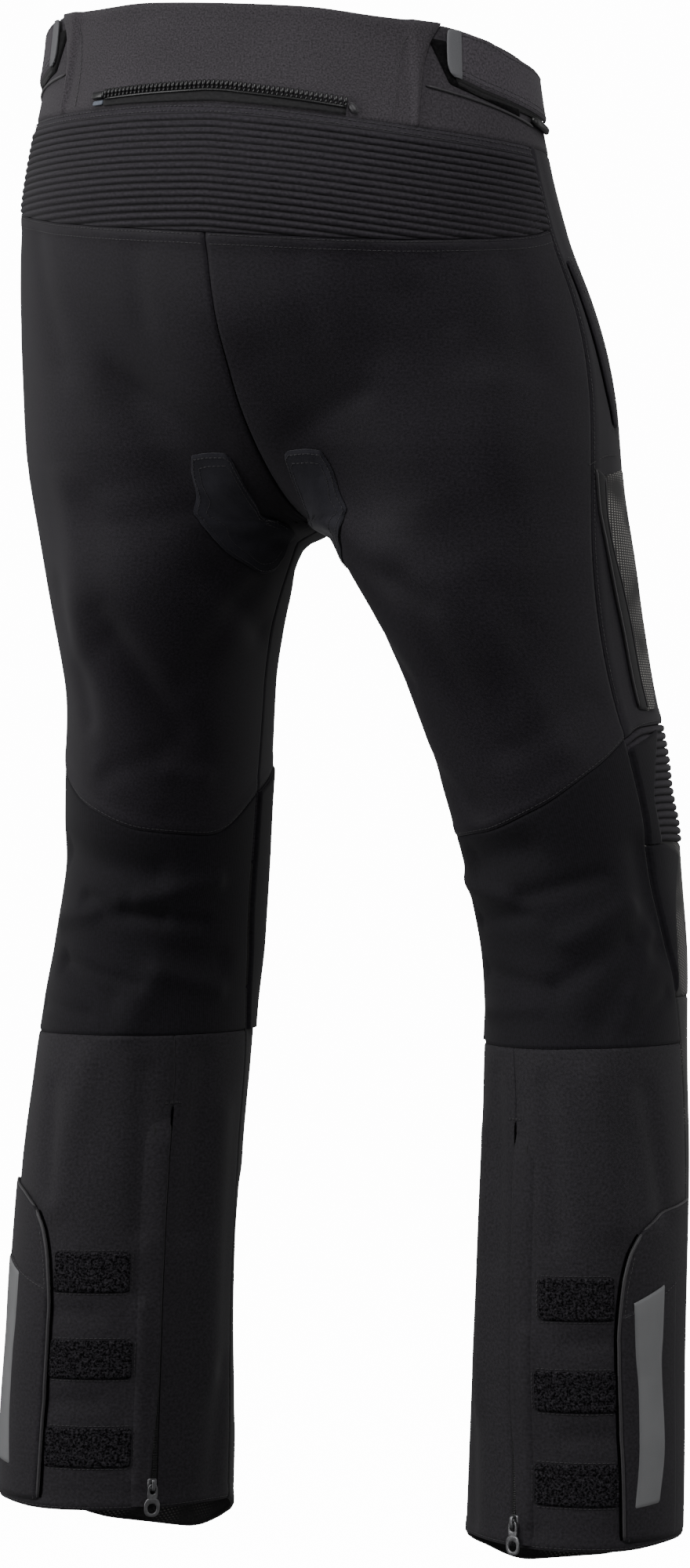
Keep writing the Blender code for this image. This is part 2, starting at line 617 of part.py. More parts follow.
def make_knees():
    """The stretch panels behind the knee, and the accordion and shield in front of it."""
    for leg, side in ((1, "left"), (-1, "right")):
        down = [("thigh_end", "accordion_end", 2, "even"), ("accordion_end", "shield_end", 4, "even"),
                ("shield_end", "knee_end", 1, "even")]
        knee = make_panel(*sorted((0.0, leg * SIDE_SEAM)), leg, down)
        make_wall(f"knee_back_{side}", knee, CLOTH, "stretch")
        ends = sorted((leg * SIDE_SEAM, leg * 1.0))
        rows = 2 * ACCORDION_RIBS
        panel = make_panel(*ends, leg, [("thigh_end", "accordion_end", rows, "even")])
        make_wall(f"knee_accordion_{side}", panel, CLOTH, "stretch", ACCORDION_RIBS,
                  ACCORDION_RIB_RISE)
        panel = make_panel(*ends, leg, [("accordion_end", "shield_end", 4, "even")])
        make_wall(f"knee_shield_{side}", panel, SHIELD_CLOTH, "print")


def make_calves():
    """The calf panels with their zip, loop patches, storm flap and reflective strip."""
    for leg, side in ((1, "left"), (-1, "right")):
        down = [("knee_end", "hem", 7, "even")]
        inner = make_panel(*sorted((0.0, leg * ZIP_AROUND)), leg, down)
        make_wall(f"calf_inner_{side}", inner, CLOTH, "calf_shell")
        calf = make_panel(*sorted((leg * ZIP_AROUND, leg * SIDE_SEAM)), leg, down)
        make_wall(f"calf_back_{side}", calf, CLOTH, "calf_shell")
        shin_down = [("shield_end", "knee_end", 1, "even"), *down]
        shin = make_panel(*sorted((leg * SIDE_SEAM, leg * 1.0)), leg, shin_down)
        make_wall(f"shin_{side}", shin, CLOTH, "calf_shell")
        tape_span = ZIP_TAPE_WIDTH / LEG_SPAN
        near, far = ZIP_AROUND + ZIP_TAPE_INSET, ZIP_AROUND + tape_span
        tape = [(near, ZIP_TOP), (far, ZIP_TOP), (far, ZIP_END), (near, ZIP_END)]
        cut_from(f"calf_zip_{side}", calf, tape, LIFT, ZIP_TAPE_CLOTH, "loop", leg)
        slider_lift = 2 * LIFT + ZIP_TAPE_CLOTH + SEAM_GAP
        frame = surface_frame(leg, ZIP_AROUND + tape_span / 2, SLIDER_HEIGHT, slider_lift)
        make_slider(f"zip_slider_{side}", frame)
        make_pull(f"zip_pull_{side}", frame)
        near, far = LOOP_SIDES
        for number, (top, bottom) in enumerate(LOOP_HEIGHTS):
            loop = [(near, top), (far, top), (far, bottom), (near, bottom)]
            cut_from(f"loop_patch_{side}_{number + 1}", calf, loop, LIFT, PATCH_CLOTH, "loop", leg)
        over = 2 * LIFT + FLAP_CLOTH
        shift = LEFT_STRIP_SHIFT if leg == 1 else 0.0
        strip = [(place + shift, height) for place, height in OUTLINES["reflective_strip"]]
        cut_from(f"storm_flap_{side}", calf, OUTLINES["storm_flap"], LIFT, FLAP_CLOTH,
                 "calf_shell", leg)
        cut_from(f"reflective_strip_{side}", calf, strip, over, PATCH_CLOTH, "reflective", leg)


clear_scene()
make_waist()
make_seat_and_thighs()
make_knees()
make_calves()
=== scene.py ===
"""Looks of a pair of motorcycle trousers, worn and hollow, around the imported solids.

Metres, +Z up. The wearer faces -Y and the wearer's left is +X. Each section makes one piece or
one group of like pieces, with its sizes, mesh and material, from the waist seam down and then
what is sewn on.
"""
import math

import bpy
import numpy as np
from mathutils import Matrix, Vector


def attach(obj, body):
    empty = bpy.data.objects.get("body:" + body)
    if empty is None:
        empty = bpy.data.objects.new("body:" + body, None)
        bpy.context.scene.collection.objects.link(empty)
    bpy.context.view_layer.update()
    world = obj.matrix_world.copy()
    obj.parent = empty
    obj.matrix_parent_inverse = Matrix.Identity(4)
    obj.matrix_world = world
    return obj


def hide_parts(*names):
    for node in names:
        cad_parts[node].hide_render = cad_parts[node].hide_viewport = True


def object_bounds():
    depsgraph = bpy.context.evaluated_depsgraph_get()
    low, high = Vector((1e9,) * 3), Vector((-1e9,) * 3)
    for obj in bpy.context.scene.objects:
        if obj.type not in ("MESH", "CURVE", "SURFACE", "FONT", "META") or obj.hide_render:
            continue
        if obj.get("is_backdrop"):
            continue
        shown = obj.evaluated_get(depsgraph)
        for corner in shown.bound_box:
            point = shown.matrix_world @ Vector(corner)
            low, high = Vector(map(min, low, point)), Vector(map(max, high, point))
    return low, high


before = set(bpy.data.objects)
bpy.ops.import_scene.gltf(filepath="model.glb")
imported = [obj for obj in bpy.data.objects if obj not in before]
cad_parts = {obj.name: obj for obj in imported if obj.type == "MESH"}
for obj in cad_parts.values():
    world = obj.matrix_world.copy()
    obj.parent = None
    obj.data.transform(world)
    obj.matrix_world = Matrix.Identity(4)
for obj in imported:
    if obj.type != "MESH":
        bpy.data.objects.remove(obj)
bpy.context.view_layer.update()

# Camera
# A long lens at the middle of the trousers' height, behind the wearer and to the wearer's right.
# The picture is upright, 880 by 2000, so the sensor's 36 mm lie along its height.
PICTURE_HEIGHT = 2000
FOCAL_PIXELS = 5066
CAMERA_TURN = math.radians(204)
CAMERA_DISTANCE = 2.70
AIM_SIDEWAYS = 0.034
AIM_HEIGHT = -0.464
backward = Vector((math.sin(CAMERA_TURN), -math.cos(CAMERA_TURN), 0))
sideways = Vector((math.cos(CAMERA_TURN), math.sin(CAMERA_TURN), 0))
camera = bpy.data.objects.new("camera", bpy.data.cameras.new("camera"))
camera.data.sensor_width = 36
camera.data.lens = 36 * FOCAL_PIXELS / PICTURE_HEIGHT
camera.location = AIM_SIDEWAYS * sideways + Vector((0, 0, AIM_HEIGHT)) + CAMERA_DISTANCE * backward
camera.rotation_mode = "QUATERNION"
camera.rotation_quaternion = (-backward).to_track_quat("-Z", "Y")
bpy.context.collection.objects.link(camera)
bpy.context.scene.camera = camera

# Seat and back-thigh panels
# Two panels of black woven polyamide from the yoke to the knee, joined by the centre-back seam.
# Their form is the whole garment's, cut at the seams, with each edge turned in and stitched down.
# the wearer's left half and right half
SIDES = ((1, "left"), (-1, "right"))
CLOTH = 0.0018
SEAM_GAP = 0.0003
# half of the garment's girth, by which places around turn into metres of cloth
SPAN = 0.48
SIDE_SEAM = 0.4583
CROTCH_HEIGHT = -0.285
RISE_START = -0.080
RISE_POWER = 2.2
RISE_REACH = 3
WAIST_ROLL = 0.10
ROLL_TOP = -0.100
CALF_TWIST = 0.045
TWIST_TOP = -0.520
TWIST_END = -0.680

# height, half_width, back_depth, front_depth, centre_y
TRUNK = np.array([
    (0.060, 0.170, 0.102, 0.101, 0.010),
    (0.005, 0.177, 0.108, 0.106, 0.010),
    (-0.038, 0.185, 0.124, 0.109, 0.008),
    (-0.080, 0.194, 0.142, 0.112, 0.001),
    (-0.123, 0.204, 0.151, 0.114, -0.012),
    (-0.166, 0.210, 0.157, 0.114, -0.023),
    (-0.208, 0.213, 0.158, 0.116, -0.034),
    (-0.285, 0.216, 0.146, 0.118, -0.054),
])

# height, centre_x, centre_y, inner_width, outer_width, back_depth, front_depth, shear
LEG = np.array([
    (-0.240, 0.117, -0.043, 0.113, 0.096, 0.118, 0.102, 0.0000),
    (-0.285, 0.118, -0.048, 0.118, 0.094, 0.103, 0.107, -0.0060),
    (-0.298, 0.118, -0.051, 0.096, 0.0945, 0.108, 0.104, -0.0125),
    (-0.353, 0.130, -0.072, 0.080, 0.080, 0.115, 0.110, -0.0130),
    (-0.398, 0.138, -0.090, 0.073, 0.073, 0.107, 0.106, -0.0125),
    (-0.442, 0.146, -0.102, 0.072, 0.072, 0.100, 0.104, -0.0095),
    (-0.486, 0.153, -0.111, 0.071, 0.071, 0.093, 0.102, -0.0070),
    (-0.530, 0.158, -0.118, 0.069, 0.069, 0.088, 0.099, -0.0035),
    (-0.575, 0.164, -0.119, 0.069, 0.069, 0.086, 0.097, 0.0020),
    (-0.619, 0.168, -0.114, 0.069, 0.069, 0.087, 0.093, 0.0055),
    (-0.663, 0.170, -0.109, 0.070, 0.070, 0.090, 0.088, 0.0070),
    (-0.730, 0.173, -0.100, 0.072, 0.072, 0.090, 0.083, 0.0077),
    (-0.840, 0.174, -0.086, 0.074, 0.074, 0.085, 0.080, 0.0092),
    (-0.928, 0.174, -0.078, 0.076, 0.076, 0.080, 0.080, 0.0130),
    (-1.020, 0.174, -0.070, 0.077, 0.077, 0.078, 0.079, 0.0140),
])

# heights of the seams that run round the garment, for places around it from back to front
SEAM_NAMES = ("waist_top", "waist_seam", "yoke_end", "thigh_end", "accordion_end", "shield_end",
              "knee_end", "hem")
# around, then the eight heights named above
SEAMS = np.array([
    (0.0, 0.047, -0.0200, -0.1065, -0.470, -0.520, -0.610, -0.641, -0.972),
    (0.1, 0.047, -0.0225, -0.1055, -0.500, -0.525, -0.610, -0.641, -0.970),
    (0.2, 0.044, -0.0255, -0.1025, -0.497, -0.525, -0.610, -0.641, -0.970),
    (0.3, 0.042, -0.0275, -0.0965, -0.481, -0.520, -0.610, -0.640, -0.970),
    (0.4, 0.035, -0.0280, -0.0885, -0.453, -0.509, -0.609, -0.640, -0.968),
    (0.5, 0.027, -0.0280, -0.0785, -0.425, -0.503, -0.609, -0.640, -0.970),
    (0.6, 0.020, -0.0300, -0.0785, -0.422, -0.505, -0.614, -0.640, -0.985),
    (0.7, 0.013, -0.0340, -0.0785, -0.424, -0.506, -0.618, -0.640, -1.002),
    (0.8, 0.007, -0.0380, -0.0785, -0.430, -0.506, -0.618, -0.640, -1.006),
    (0.9, 0.002, -0.0420, -0.0785, -0.447, -0.512, -0.613, -0.640, -0.990),
    (1.0, 0.000, -0.0440, -0.0785, -0.470, -0.520, -0.610, -0.641, -0.972),
])

# folds: leg (0 is both), around, height, run_around, run_height, half_width, rise
FOLDS = np.array([
    # the largest, as in the solids
    (1, 0.38, -0.512, -0.20, -0.016, 0.012, -0.0045),
    (1, 0.22, -0.635, -0.06, 0.045, 0.012, 0.0030),
    (1, 0.15, -0.585, -0.08, -0.004, 0.010, -0.0025),
    (-1, 0.16, -0.516, 0.11, 0.008, 0.012, -0.0045),
    (-1, 0.30, -0.625, 0.11, 0.055, 0.012, -0.0040),
    (-1, 0.44, -0.510, 0.00, -0.065, 0.012, -0.0035),
    (1, 0.26, -0.370, -0.10, -0.055, 0.016, -0.0050),
    (1, 0.17, -0.215, -0.04, -0.100, 0.020, -0.0050),
    (-1, 0.32, -0.200, 0.03, -0.110, 0.020, 0.0040),
    (0, 0.60, -0.470, 0.12, -0.020, 0.014, -0.0030),
    (0, 0.62, -0.230, 0.20, 0.030, 0.016, -0.0040),
    # soft gathers under the yoke, and pulls from the crotch across the seat
    (-1, 0.10, -0.120, 0.01, -0.045, 0.009, -0.0012),
    (-1, 0.17, -0.118, 0.02, -0.060, 0.011, -0.0016),
    (-1, 0.25, -0.115, 0.02, -0.040, 0.008, -0.0013),
    (-1, 0.36, -0.110, 0.01, -0.070, 0.012, -0.0018),
    (1, 0.09, -0.122, 0.01, -0.040, 0.009, -0.0011),
    (1, 0.27, -0.112, -0.01, -0.075, 0.012, -0.0016),
    (1, 0.38, -0.106, 0.00, -0.050, 0.010, -0.0012),
    (1, 0.05, -0.235, 0.13, 0.040, 0.010, -0.0018),
    (1, 0.07, -0.265, 0.17, -0.010, 0.009, 0.0012),
    (-1, 0.05, -0.240, 0.12, 0.035, 0.010, -0.0016),
    (-1, 0.10, -0.300, 0.15, -0.045, 0.010, -0.0020),
    (-1, 0.05, -0.325, 0.10, -0.070, 0.009, -0.0015),
    (1, 0.06, -0.330, 0.09, -0.065, 0.009, -0.0016),
    # broad slanting swell across the right buttock, with a hollow towards the centre seam
    (-1, 0.10, -0.145, 0.17, -0.130, 0.022, 0.0038),
    (-1, 0.04, -0.190, 0.13, -0.100, 0.016, -0.0030),
    (-1, 0.22, -0.140, 0.14, -0.170, 0.012, -0.0018),
    (-1, 0.30, -0.330, 0.06, -0.110, 0.014, 0.0020),
    # long soft creases down the thighs, and short ones over the knee-back seam
    (1, 0.30, -0.260, 0.03, -0.110, 0.013, 0.0026),
    (1, 0.36, -0.330, -0.05, -0.090, 0.010, -0.0022),
    (1, 0.275, -0.350, -0.139, -0.100, 0.012, -0.0034),
    (1, 0.165, -0.455, -0.05, -0.004, 0.007, 0.0020),
    (1, 0.118, -0.327, -0.088, -0.030, 0.010, -0.0026),
    (-1, 0.22, -0.330, 0.05, -0.110, 0.013, -0.0032),
    (-1, 0.36, -0.360, -0.06, -0.060, 0.009, -0.0014),
    (-1, 0.30, -0.440, 0.12, 0.030, 0.010, -0.0018),
    (1, 0.16, -0.440, 0.11, -0.018, 0.009, -0.0015),
    (1, 0.28, -0.450, -0.09, -0.028, 0.008, 0.0012),
    (-1, 0.10, -0.450, 0.10, -0.030, 0.009, -0.0016),
    # stretch cloth behind the knees: broad folds that cross it, and small ones between
    (1, 0.08, -0.532, 0.12, -0.012, 0.007, 0.0026),
    (1, 0.30, -0.545, -0.14, -0.014, 0.006, -0.0029),
    (1, 0.36, -0.560, -0.12, 0.010, 0.008, 0.0032),
    (1, 0.10, -0.562, 0.16, 0.006, 0.006, -0.0023),
    (1, 0.34, -0.592, -0.10, -0.022, 0.008, -0.0032),
    (1, 0.07, -0.610, 0.10, 0.014, 0.007, 0.0020),
    (1, 0.20, -0.605, 0.14, 0.018, 0.005, -0.0019),
    (1, 0.40, -0.620, -0.12, -0.006, 0.006, -0.0017),
    (-1, 0.08, -0.530, 0.13, -0.010, 0.007, 0.0026),
    (-1, 0.24, -0.540, 0.13, 0.014, 0.006, -0.0026),
    (-1, 0.12, -0.556, 0.12, 0.004, 0.006, -0.0023),
    (-1, 0.28, -0.570, 0.12, 0.024, 0.008, 0.0032),
    (-1, 0.10, -0.590, 0.14, -0.012, 0.007, -0.0022),
    (-1, 0.24, -0.600, 0.14, 0.030, 0.007, -0.0029),
    (-1, 0.36, -0.606, 0.07, 0.042, 0.006, 0.0023),
    (-1, 0.08, -0.618, 0.12, 0.004, 0.006, 0.0017),
    (-1, 0.34, -0.632, 0.09, 0.026, 0.005, -0.0017),
    # calves: long creases beside the zip and from the hem, and shallow ones round the loop patches
    (0, 0.10, -0.660, 0.01, -0.120, 0.009, -0.0020),
    (0, 0.06, -0.700, 0.00, -0.180, 0.012, 0.0026),
    (1, 0.19, -0.665, -0.01, -0.110, 0.008, -0.0020),
    (-1, 0.20, -0.665, 0.02, -0.100, 0.009, -0.0023),
    (0, 0.28, -0.660, 0.03, -0.095, 0.012, 0.0023),
    (1, 0.34, -0.680, -0.02, -0.070, 0.009, -0.0022),
    (-1, 0.36, -0.670, 0.03, -0.080, 0.009, -0.0026),
    (0, 0.175, -0.830, 0.00, -0.120, 0.006, 0.0017),
    (0, 0.24, -0.834, 0.05, 0.002, 0.007, -0.0014),
    (0, 0.23, -0.895, 0.06, 0.000, 0.007, -0.0014),
    (0, 0.03, -0.880, 0.02, -0.080, 0.010, -0.0017),
    (0, 0.96, -0.760, -0.03, -0.150, 0.012, -0.0029),
    (0, 0.88, -0.700, -0.02, -0.100, 0.012, 0.0022),
    # fronts, which the picture hides: pulls from the fly to the pockets, and creases at the groin
    (0, 0.95, -0.255, -0.20, 0.060, 0.011, -0.0024),
    (0, 0.93, -0.285, -0.26, 0.020, 0.010, 0.0016),
    (0, 0.95, -0.310, -0.22, -0.040, 0.011, -0.0022),
    (0, 0.80, -0.130, -0.06, -0.080, 0.012, -0.0015),
    (0, 0.70, -0.340, 0.04, -0.060, 0.014, 0.0018),
    (0, 0.90, -0.380, -0.08, -0.060, 0.010, -0.0016),
    (0, 0.72, -0.655, 0.10, -0.030, 0.010, -0.0016),
    (0, 0.66, -0.760, 0.02, -0.130, 0.013, -0.0018),
])

# where the blending of sections starts and ends, in places around and in heights
SOFT_BACK = (0.10, 0.24)
SOFT_FRONT = (0.78, 0.92)
SOFT_TOP = (-0.130, -0.190)
SOFT_END = (-0.370, -0.430)
# height above or below, then its weight in the blended form
SOFTEN = ((-0.036, 0.14), (-0.024, 0.41), (-0.012, 0.80), (0.0, 1.0), (0.012, 0.80), (0.024, 0.41),
          (0.036, 0.14))
# how far a turned edge falls away, and how far the layers under a stitched seam lift it
EDGE_FALL = 0.0009
EDGE_ROUND = 0.0011
SEAM_LIFT = 0.0006
NEAR_STITCH = 0.0016
FAR_STITCH = 0.0074
STITCH_DIP = 0.00035
# how far a panel runs on under its neighbour, as a seam allowance does, how deep, and how soon
ALLOWANCE = 0.0036
ALLOWANCE_DEPTH = 0.0031
ALLOWANCE_START = 0.0002
# relief below which cloth is a seam allowance
UNDER = -0.0030
# places beside an edge at which the cloth has points
EDGE_PLACES = (0, 0.0004, 0.0009, 0.0016, 0.0026, 0.0040, 0.0058, 0.0074, 0.0090, 0.0110)


def smooth(known, values, wanted):
    """Smooth curve through values at the rising places known, with no overshoot."""
    step = np.diff(known)
    grade = np.diff(values) / step
    tangent = np.concatenate([grade[:1], np.zeros(len(known) - 2), grade[-1:]])
    product = grade[:-1] * grade[1:]
    total = np.where(product > 0, grade[:-1] + grade[1:], 1.0)
    tangent[1:-1] = np.where(product > 0, 2 * product / total, 0.0)
    wanted = np.clip(wanted, known[0], known[-1])
    k = np.clip(np.searchsorted(known, wanted, side="right") - 1, 0, len(known) - 2)
    t = (wanted - known[k]) / step[k]
    ends = values[k] * (1 + 2 * t) * (1 - t) ** 2 + values[k + 1] * t * t * (3 - 2 * t)
    pulls = tangent[k] * t * (1 - t) ** 2 + tangent[k + 1] * t * t * (t - 1)
    return ends + pulls * step[k]


def ease(start, end, value):
    """0 at start and 1 at end, with a smooth ramp between."""
    t = np.clip((value - start) / (end - start), 0, 1)
    return t * t * (3 - 2 * t)


def section(table, height):
    """The sizes of a table of sections at the given heights, one array for each column."""
    rising = table[::-1]
    return [smooth(rising[:, 0], rising[:, c], height) for c in range(1, table.shape[1])]


def plain_form(leg, around, height):
    """The garment with no folds: half an ellipse for the trunk that turns into a leg's ring.

    Between the start of the rise and the crotch the two are mixed. By the centre seams the share
    of the ring grows as a quarter ellipse does, and further round it grows evenly."""
    turned = around - leg * CALF_TWIST * ease(TWIST_TOP, TWIST_END, height)
    half_width, back, front, trunk_y = section(TRUNK, height)
    half_turn = math.pi * turned
    trunk_x = half_width * np.sin(half_turn)
    trunk_y = trunk_y + np.where(np.cos(half_turn) > 0, back, front) * np.cos(half_turn)
    centre_x, centre_y, inner_width, outer_width, back, front, shear = section(LEG, height)
    turn = 2 * math.pi * turned
    half_width = np.where(np.cos(turn) > 0, inner_width, outer_width)
    leg_x = centre_x - half_width * np.cos(turn) + shear * np.sin(turn)
    leg_y = centre_y + np.where(np.sin(turn) > 0, back, front) * np.sin(turn)
    drop = np.clip((RISE_START - height) / (RISE_START - CROTCH_HEIGHT), 0, 1)
    near_centre = np.cos(half_turn) ** 2
    by_seam = near_centre ** RISE_REACH
    share = by_seam * (1 - (1 - drop ** RISE_POWER) ** (1 / RISE_POWER))
    share = share + (1 - by_seam) * ease(RISE_START, CROTCH_HEIGHT, height)
    inner = np.where(drop < 1, centre_x - inner_width, 0.0)
    x = (1 - share) * trunk_x + share * (leg_x - inner * near_centre)
    x = np.where(turned > 0, np.maximum(x, 0.55 * SEAM_GAP), x)
    y = (1 - share) * trunk_y + share * leg_y
    z = height + WAIST_ROLL * ease(CROTCH_HEIGHT, ROLL_TOP, height) * x * leg
    return np.stack([x * leg, y, z], -1)


def soft_form(leg, around, height):
    """The plain form with its sections blended over about 7 cm of height between the seat and the
    thighs, as stretched cloth spans them: a mean of the form at heights above and below, each
    shifted back. It fades out towards the centre seams."""
    point = plain_form(leg, around, height)
    share = ease(*SOFT_BACK, around) * (1 - ease(*SOFT_FRONT, around))
    share = share * ease(*SOFT_TOP, height) * (1 - ease(*SOFT_END, height))
    here = share > 0
    if here.any():
        one, place, level = (np.broadcast_to(v, share.shape)[here] for v in (leg, around, height))
        total = sum(weight for _, weight in SOFTEN)
        mean = sum(weight * (plain_form(one, place, level + shift) - (0, 0, shift))
                   for shift, weight in SOFTEN) / total
        point[here] += share[here][:, None] * (mean - point[here])
    return point


def outward(surface, leg, around, height):
    """Unit normals of a surface, pointing out of the garment: across crossed with along."""
    reach = 0.002
    across = surface(leg, around + reach, height) - surface(leg, around - reach, height)
    along = surface(leg, around, height + reach) - surface(leg, around, height - reach)
    normal = np.cross(across, along) * -np.asarray(leg)[..., None]
    return normal / np.linalg.norm(normal, axis=-1, keepdims=True)


def fold_rise(leg, around, height):
    """How far the folds lift or sink the cloth: bell-shaped ridges and troughs along short lines
    that fade towards their ends."""
    rise = np.zeros_like(height)
    for which, start_around, start_height, run_around, run_height, half_width, size in FOLDS:
        run = np.array([run_around * SPAN, run_height])
        away = np.stack([(around - start_around) * SPAN, height - start_height], -1)
        share = np.clip(away @ run / (run @ run), 0, 1)
        distance = np.linalg.norm(away - share[..., None] * run, axis=-1)
        here = np.where((which == 0) | (leg == which), size, 0.0)
        rise = rise + here * np.exp(-(distance / half_width) ** 2)
    return rise


def form(leg, around, height):
    """The garment's outer surface with its folds."""
    lifted = fold_rise(leg, around, height)[..., None]
    return soft_form(leg, around, height) + lifted * outward(soft_form, leg, around, height)


def seam_height(name, around):
    """Height of a seam that runs round the garment, at the given places around."""
    return smooth(SEAMS[:, 0], SEAMS[:, 1 + SEAM_NAMES.index(name)], np.abs(around))


def places_across(length, step):
    """Shares from 0 to 1: the edge places at both ends, and even ones a step apart between."""
    near = np.array(EDGE_PLACES)
    near = near[near < 0.36 * length]
    count = max(2, round((length - 2 * near[-1]) / step))
    middle = np.linspace(near[-1], length - near[-1], count + 1)[1:-1]
    return np.concatenate([near, middle, length - near[::-1]]) / length


def edge_relief(distance, kind):
    """Height of the cloth beside an edge: it rolls down at the edge, and where the seam is
    stitched it lies higher over the layers inside, with a dip along each row of stitches."""
    relief = -EDGE_FALL * np.exp(-(distance / EDGE_ROUND) ** 2)
    if kind == "stitched":
        relief = relief + SEAM_LIFT * (1 - ease(FAR_STITCH, FAR_STITCH + 0.003, distance))
        for row in (NEAR_STITCH, FAR_STITCH):
            relief = relief - STITCH_DIP * np.exp(-((distance - row) / 0.0007) ** 2)
    return relief


def cut_panel(leg, first, last, top, bottom, step=0.0034, edges=("turned",) * 4, shares=None):
    """A panel's grid on the garment. top and bottom give heights for places around, and edges
    says how the first, last, top and bottom edges are finished."""
    across = places_across(abs(last - first) * SPAN, step)
    half_gap = SEAM_GAP / 2 / SPAN
    place = first + half_gap + across * (last - first - 2 * half_gap)
    under = np.zeros(len(place), bool)
    if leg != 0:
        place = np.append(place, place[-1] + np.array([ALLOWANCE_START, ALLOWANCE]) / SPAN)
        under = np.append(under, [True, True])
    high, low = top(place) - SEAM_GAP / 2, bottom(place) + SEAM_GAP / 2
    down = places_across(float(np.mean(high - low)), step) if shares is None else shares
    height = high + down[:, None] * (low - high)
    under = np.broadcast_to(under, height.shape)
    if bottom is not hem:
        height = np.concatenate([height, height[-1:] - ALLOWANCE_START, height[-1:] - ALLOWANCE])
        under = np.concatenate([under, np.ones((2, len(place)), bool)])
    place = np.broadcast_to(place, height.shape)
    legs = np.where(place < 0, -1.0, 1.0) if leg == 0 else np.full(height.shape, float(leg))
    distances = ((place - first) * SPAN, (last - place) * SPAN, high - height, height - low)
    relief = sum(edge_relief(d, kind) for d, kind in zip(distances, edges) if kind != "open")
    return on_form(legs, place, height, np.where(under, -ALLOWANCE_DEPTH, relief))


def on_form(legs, place, height, relief):
    """A grid of places on the garment with its points, its normals and its cloth's relief."""
    around = legs * place
    return {
        "place": place, "around": around, "height": height, "relief": relief,
        "point": form(legs, around, height), "normal": outward(form, legs, around, height),
    }


def curve_through(points, share):
    """A smooth line through a few (place, height) points, at shares of its length from 0 to 1."""
    points = np.array(points, float)
    run = np.linalg.norm(np.diff(points * (SPAN, 1), axis=0), axis=1)
    known = np.concatenate([[0], np.cumsum(run)]) / run.sum()
    return np.stack([smooth(known, points[:, k], share) for k in (0, 1)], -1)


def cut_patch(leg, top, right, bottom, left, step=0.0030, edges=("turned",) * 4):
    """A small piece on one leg, from its four edges as short lists of (around, height). Its grid
    is a Coons patch: the blends of facing edges added up, less the blend of the corners."""
    def metres(edge):
        return np.linalg.norm(np.diff(np.array(edge) * (SPAN, 1), axis=0), axis=1).sum()

    across = places_across(max(metres(top), metres(bottom)), step)
    down = places_across(max(metres(left), metres(right)), step)
    high, low = curve_through(top, across)[None], curve_through(bottom, across)[None]
    near, far = curve_through(left, down)[:, None], curve_through(right, down)[:, None]
    a, d = across[None, :, None], down[:, None, None]
    corners = (1 - d) * ((1 - a) * high[:, :1] + a * high[:, -1:])
    corners = corners + d * ((1 - a) * low[:, :1] + a * low[:, -1:])
    grid = (1 - d) * high + d * low + (1 - a) * near + a * far - corners
    width = np.linalg.norm((far - near) * (SPAN, 1), axis=-1)
    tall = np.linalg.norm((low - high) * (SPAN, 1), axis=-1)
    a, d = a[..., 0], d[..., 0]
    distances = (a * width, (1 - a) * width, d * tall, (1 - d) * tall)
    relief = sum(edge_relief(q, kind) for q, kind in zip(distances, edges) if kind != "open")
    relief = relief + np.zeros(grid.shape[:2])
    if leg < 0:
        grid, relief = grid[:, ::-1], relief[:, ::-1]
    legs = np.full(relief.shape, float(leg))
    return on_form(legs, leg * grid[..., 0], grid[..., 1], relief)


def lay_sheet(name, panel, cloth, finish, rise):
    """A sheet of cloth from a panel's grid: its points moved out by the relief, its weave's
    places in metres in a UV map, and its thickness added inwards."""
    points = panel["point"] + (rise + panel["relief"])[..., None] * panel["normal"]
    rows, columns = points.shape[:2]
    number = np.arange(rows * columns).reshape(rows, columns)
    faces = np.stack([number[:-1, :-1], number[:-1, 1:], number[1:, 1:], number[1:, :-1]], -1)
    faces = faces.reshape(-1, 4)
    mesh = bpy.data.meshes.new(name)
    mesh.from_pydata(points.reshape(-1, 3), [], faces)
    weave = np.stack([panel["place"] * SPAN, panel["height"]], -1).reshape(-1, 2)
    layer = mesh.uv_layers.new(name="weave")
    layer.data.foreach_set("uv", weave[faces.ravel()].astype(np.float32).ravel())
    # the groove attribute carries painted shade, which darkens the colour in the grooves between
    # ribs
    if "groove_shade" in panel:
        groove_shade = mesh.attributes.new("groove_shade", "FLOAT", "POINT")
        groove_shade.data.foreach_set("value", panel["groove_shade"].astype(np.float32).ravel())
    mesh.polygons.foreach_set("use_smooth", np.ones(len(faces), bool))
    mesh.materials.append(finish)
    piece = bpy.data.objects.new(name, mesh)
    bpy.context.collection.objects.link(piece)
    wall = piece.modifiers.new("thickness", "SOLIDIFY")
    wall.thickness = cloth
    wall.offset = -1
    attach(piece, "garment")
    return piece


def declare_cloth(panel, node):
    """Hides the solid that a sheet stands for; the flat size it was cut to is worked out, not kept.
    """
    points = panel["point"]
    wide = np.linalg.norm(np.diff(points, axis=1), axis=-1).sum(1)
    tall = np.linalg.norm(np.diff(points, axis=0), axis=-1).sum(0)
    ones = np.cross(points[1:, :-1] - points[:-1, :-1], points[:-1, 1:] - points[:-1, :-1])
    area = float(np.linalg.norm(ones, axis=-1).sum())
    flat = (float(wide.max()), float(tall.max()))
    area = float(np.clip(area, 0.31 * flat[0] * flat[1], flat[0] * flat[1]))
    if node:
        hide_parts(node)


def add_cloth(name, panel, cloth, finish, node, rise=0.0):
    """A sheet of cloth on the garment, which hides the solid that it stands for."""
    piece = lay_sheet(name, panel, cloth, finish, rise)
    declare_cloth(panel, node)


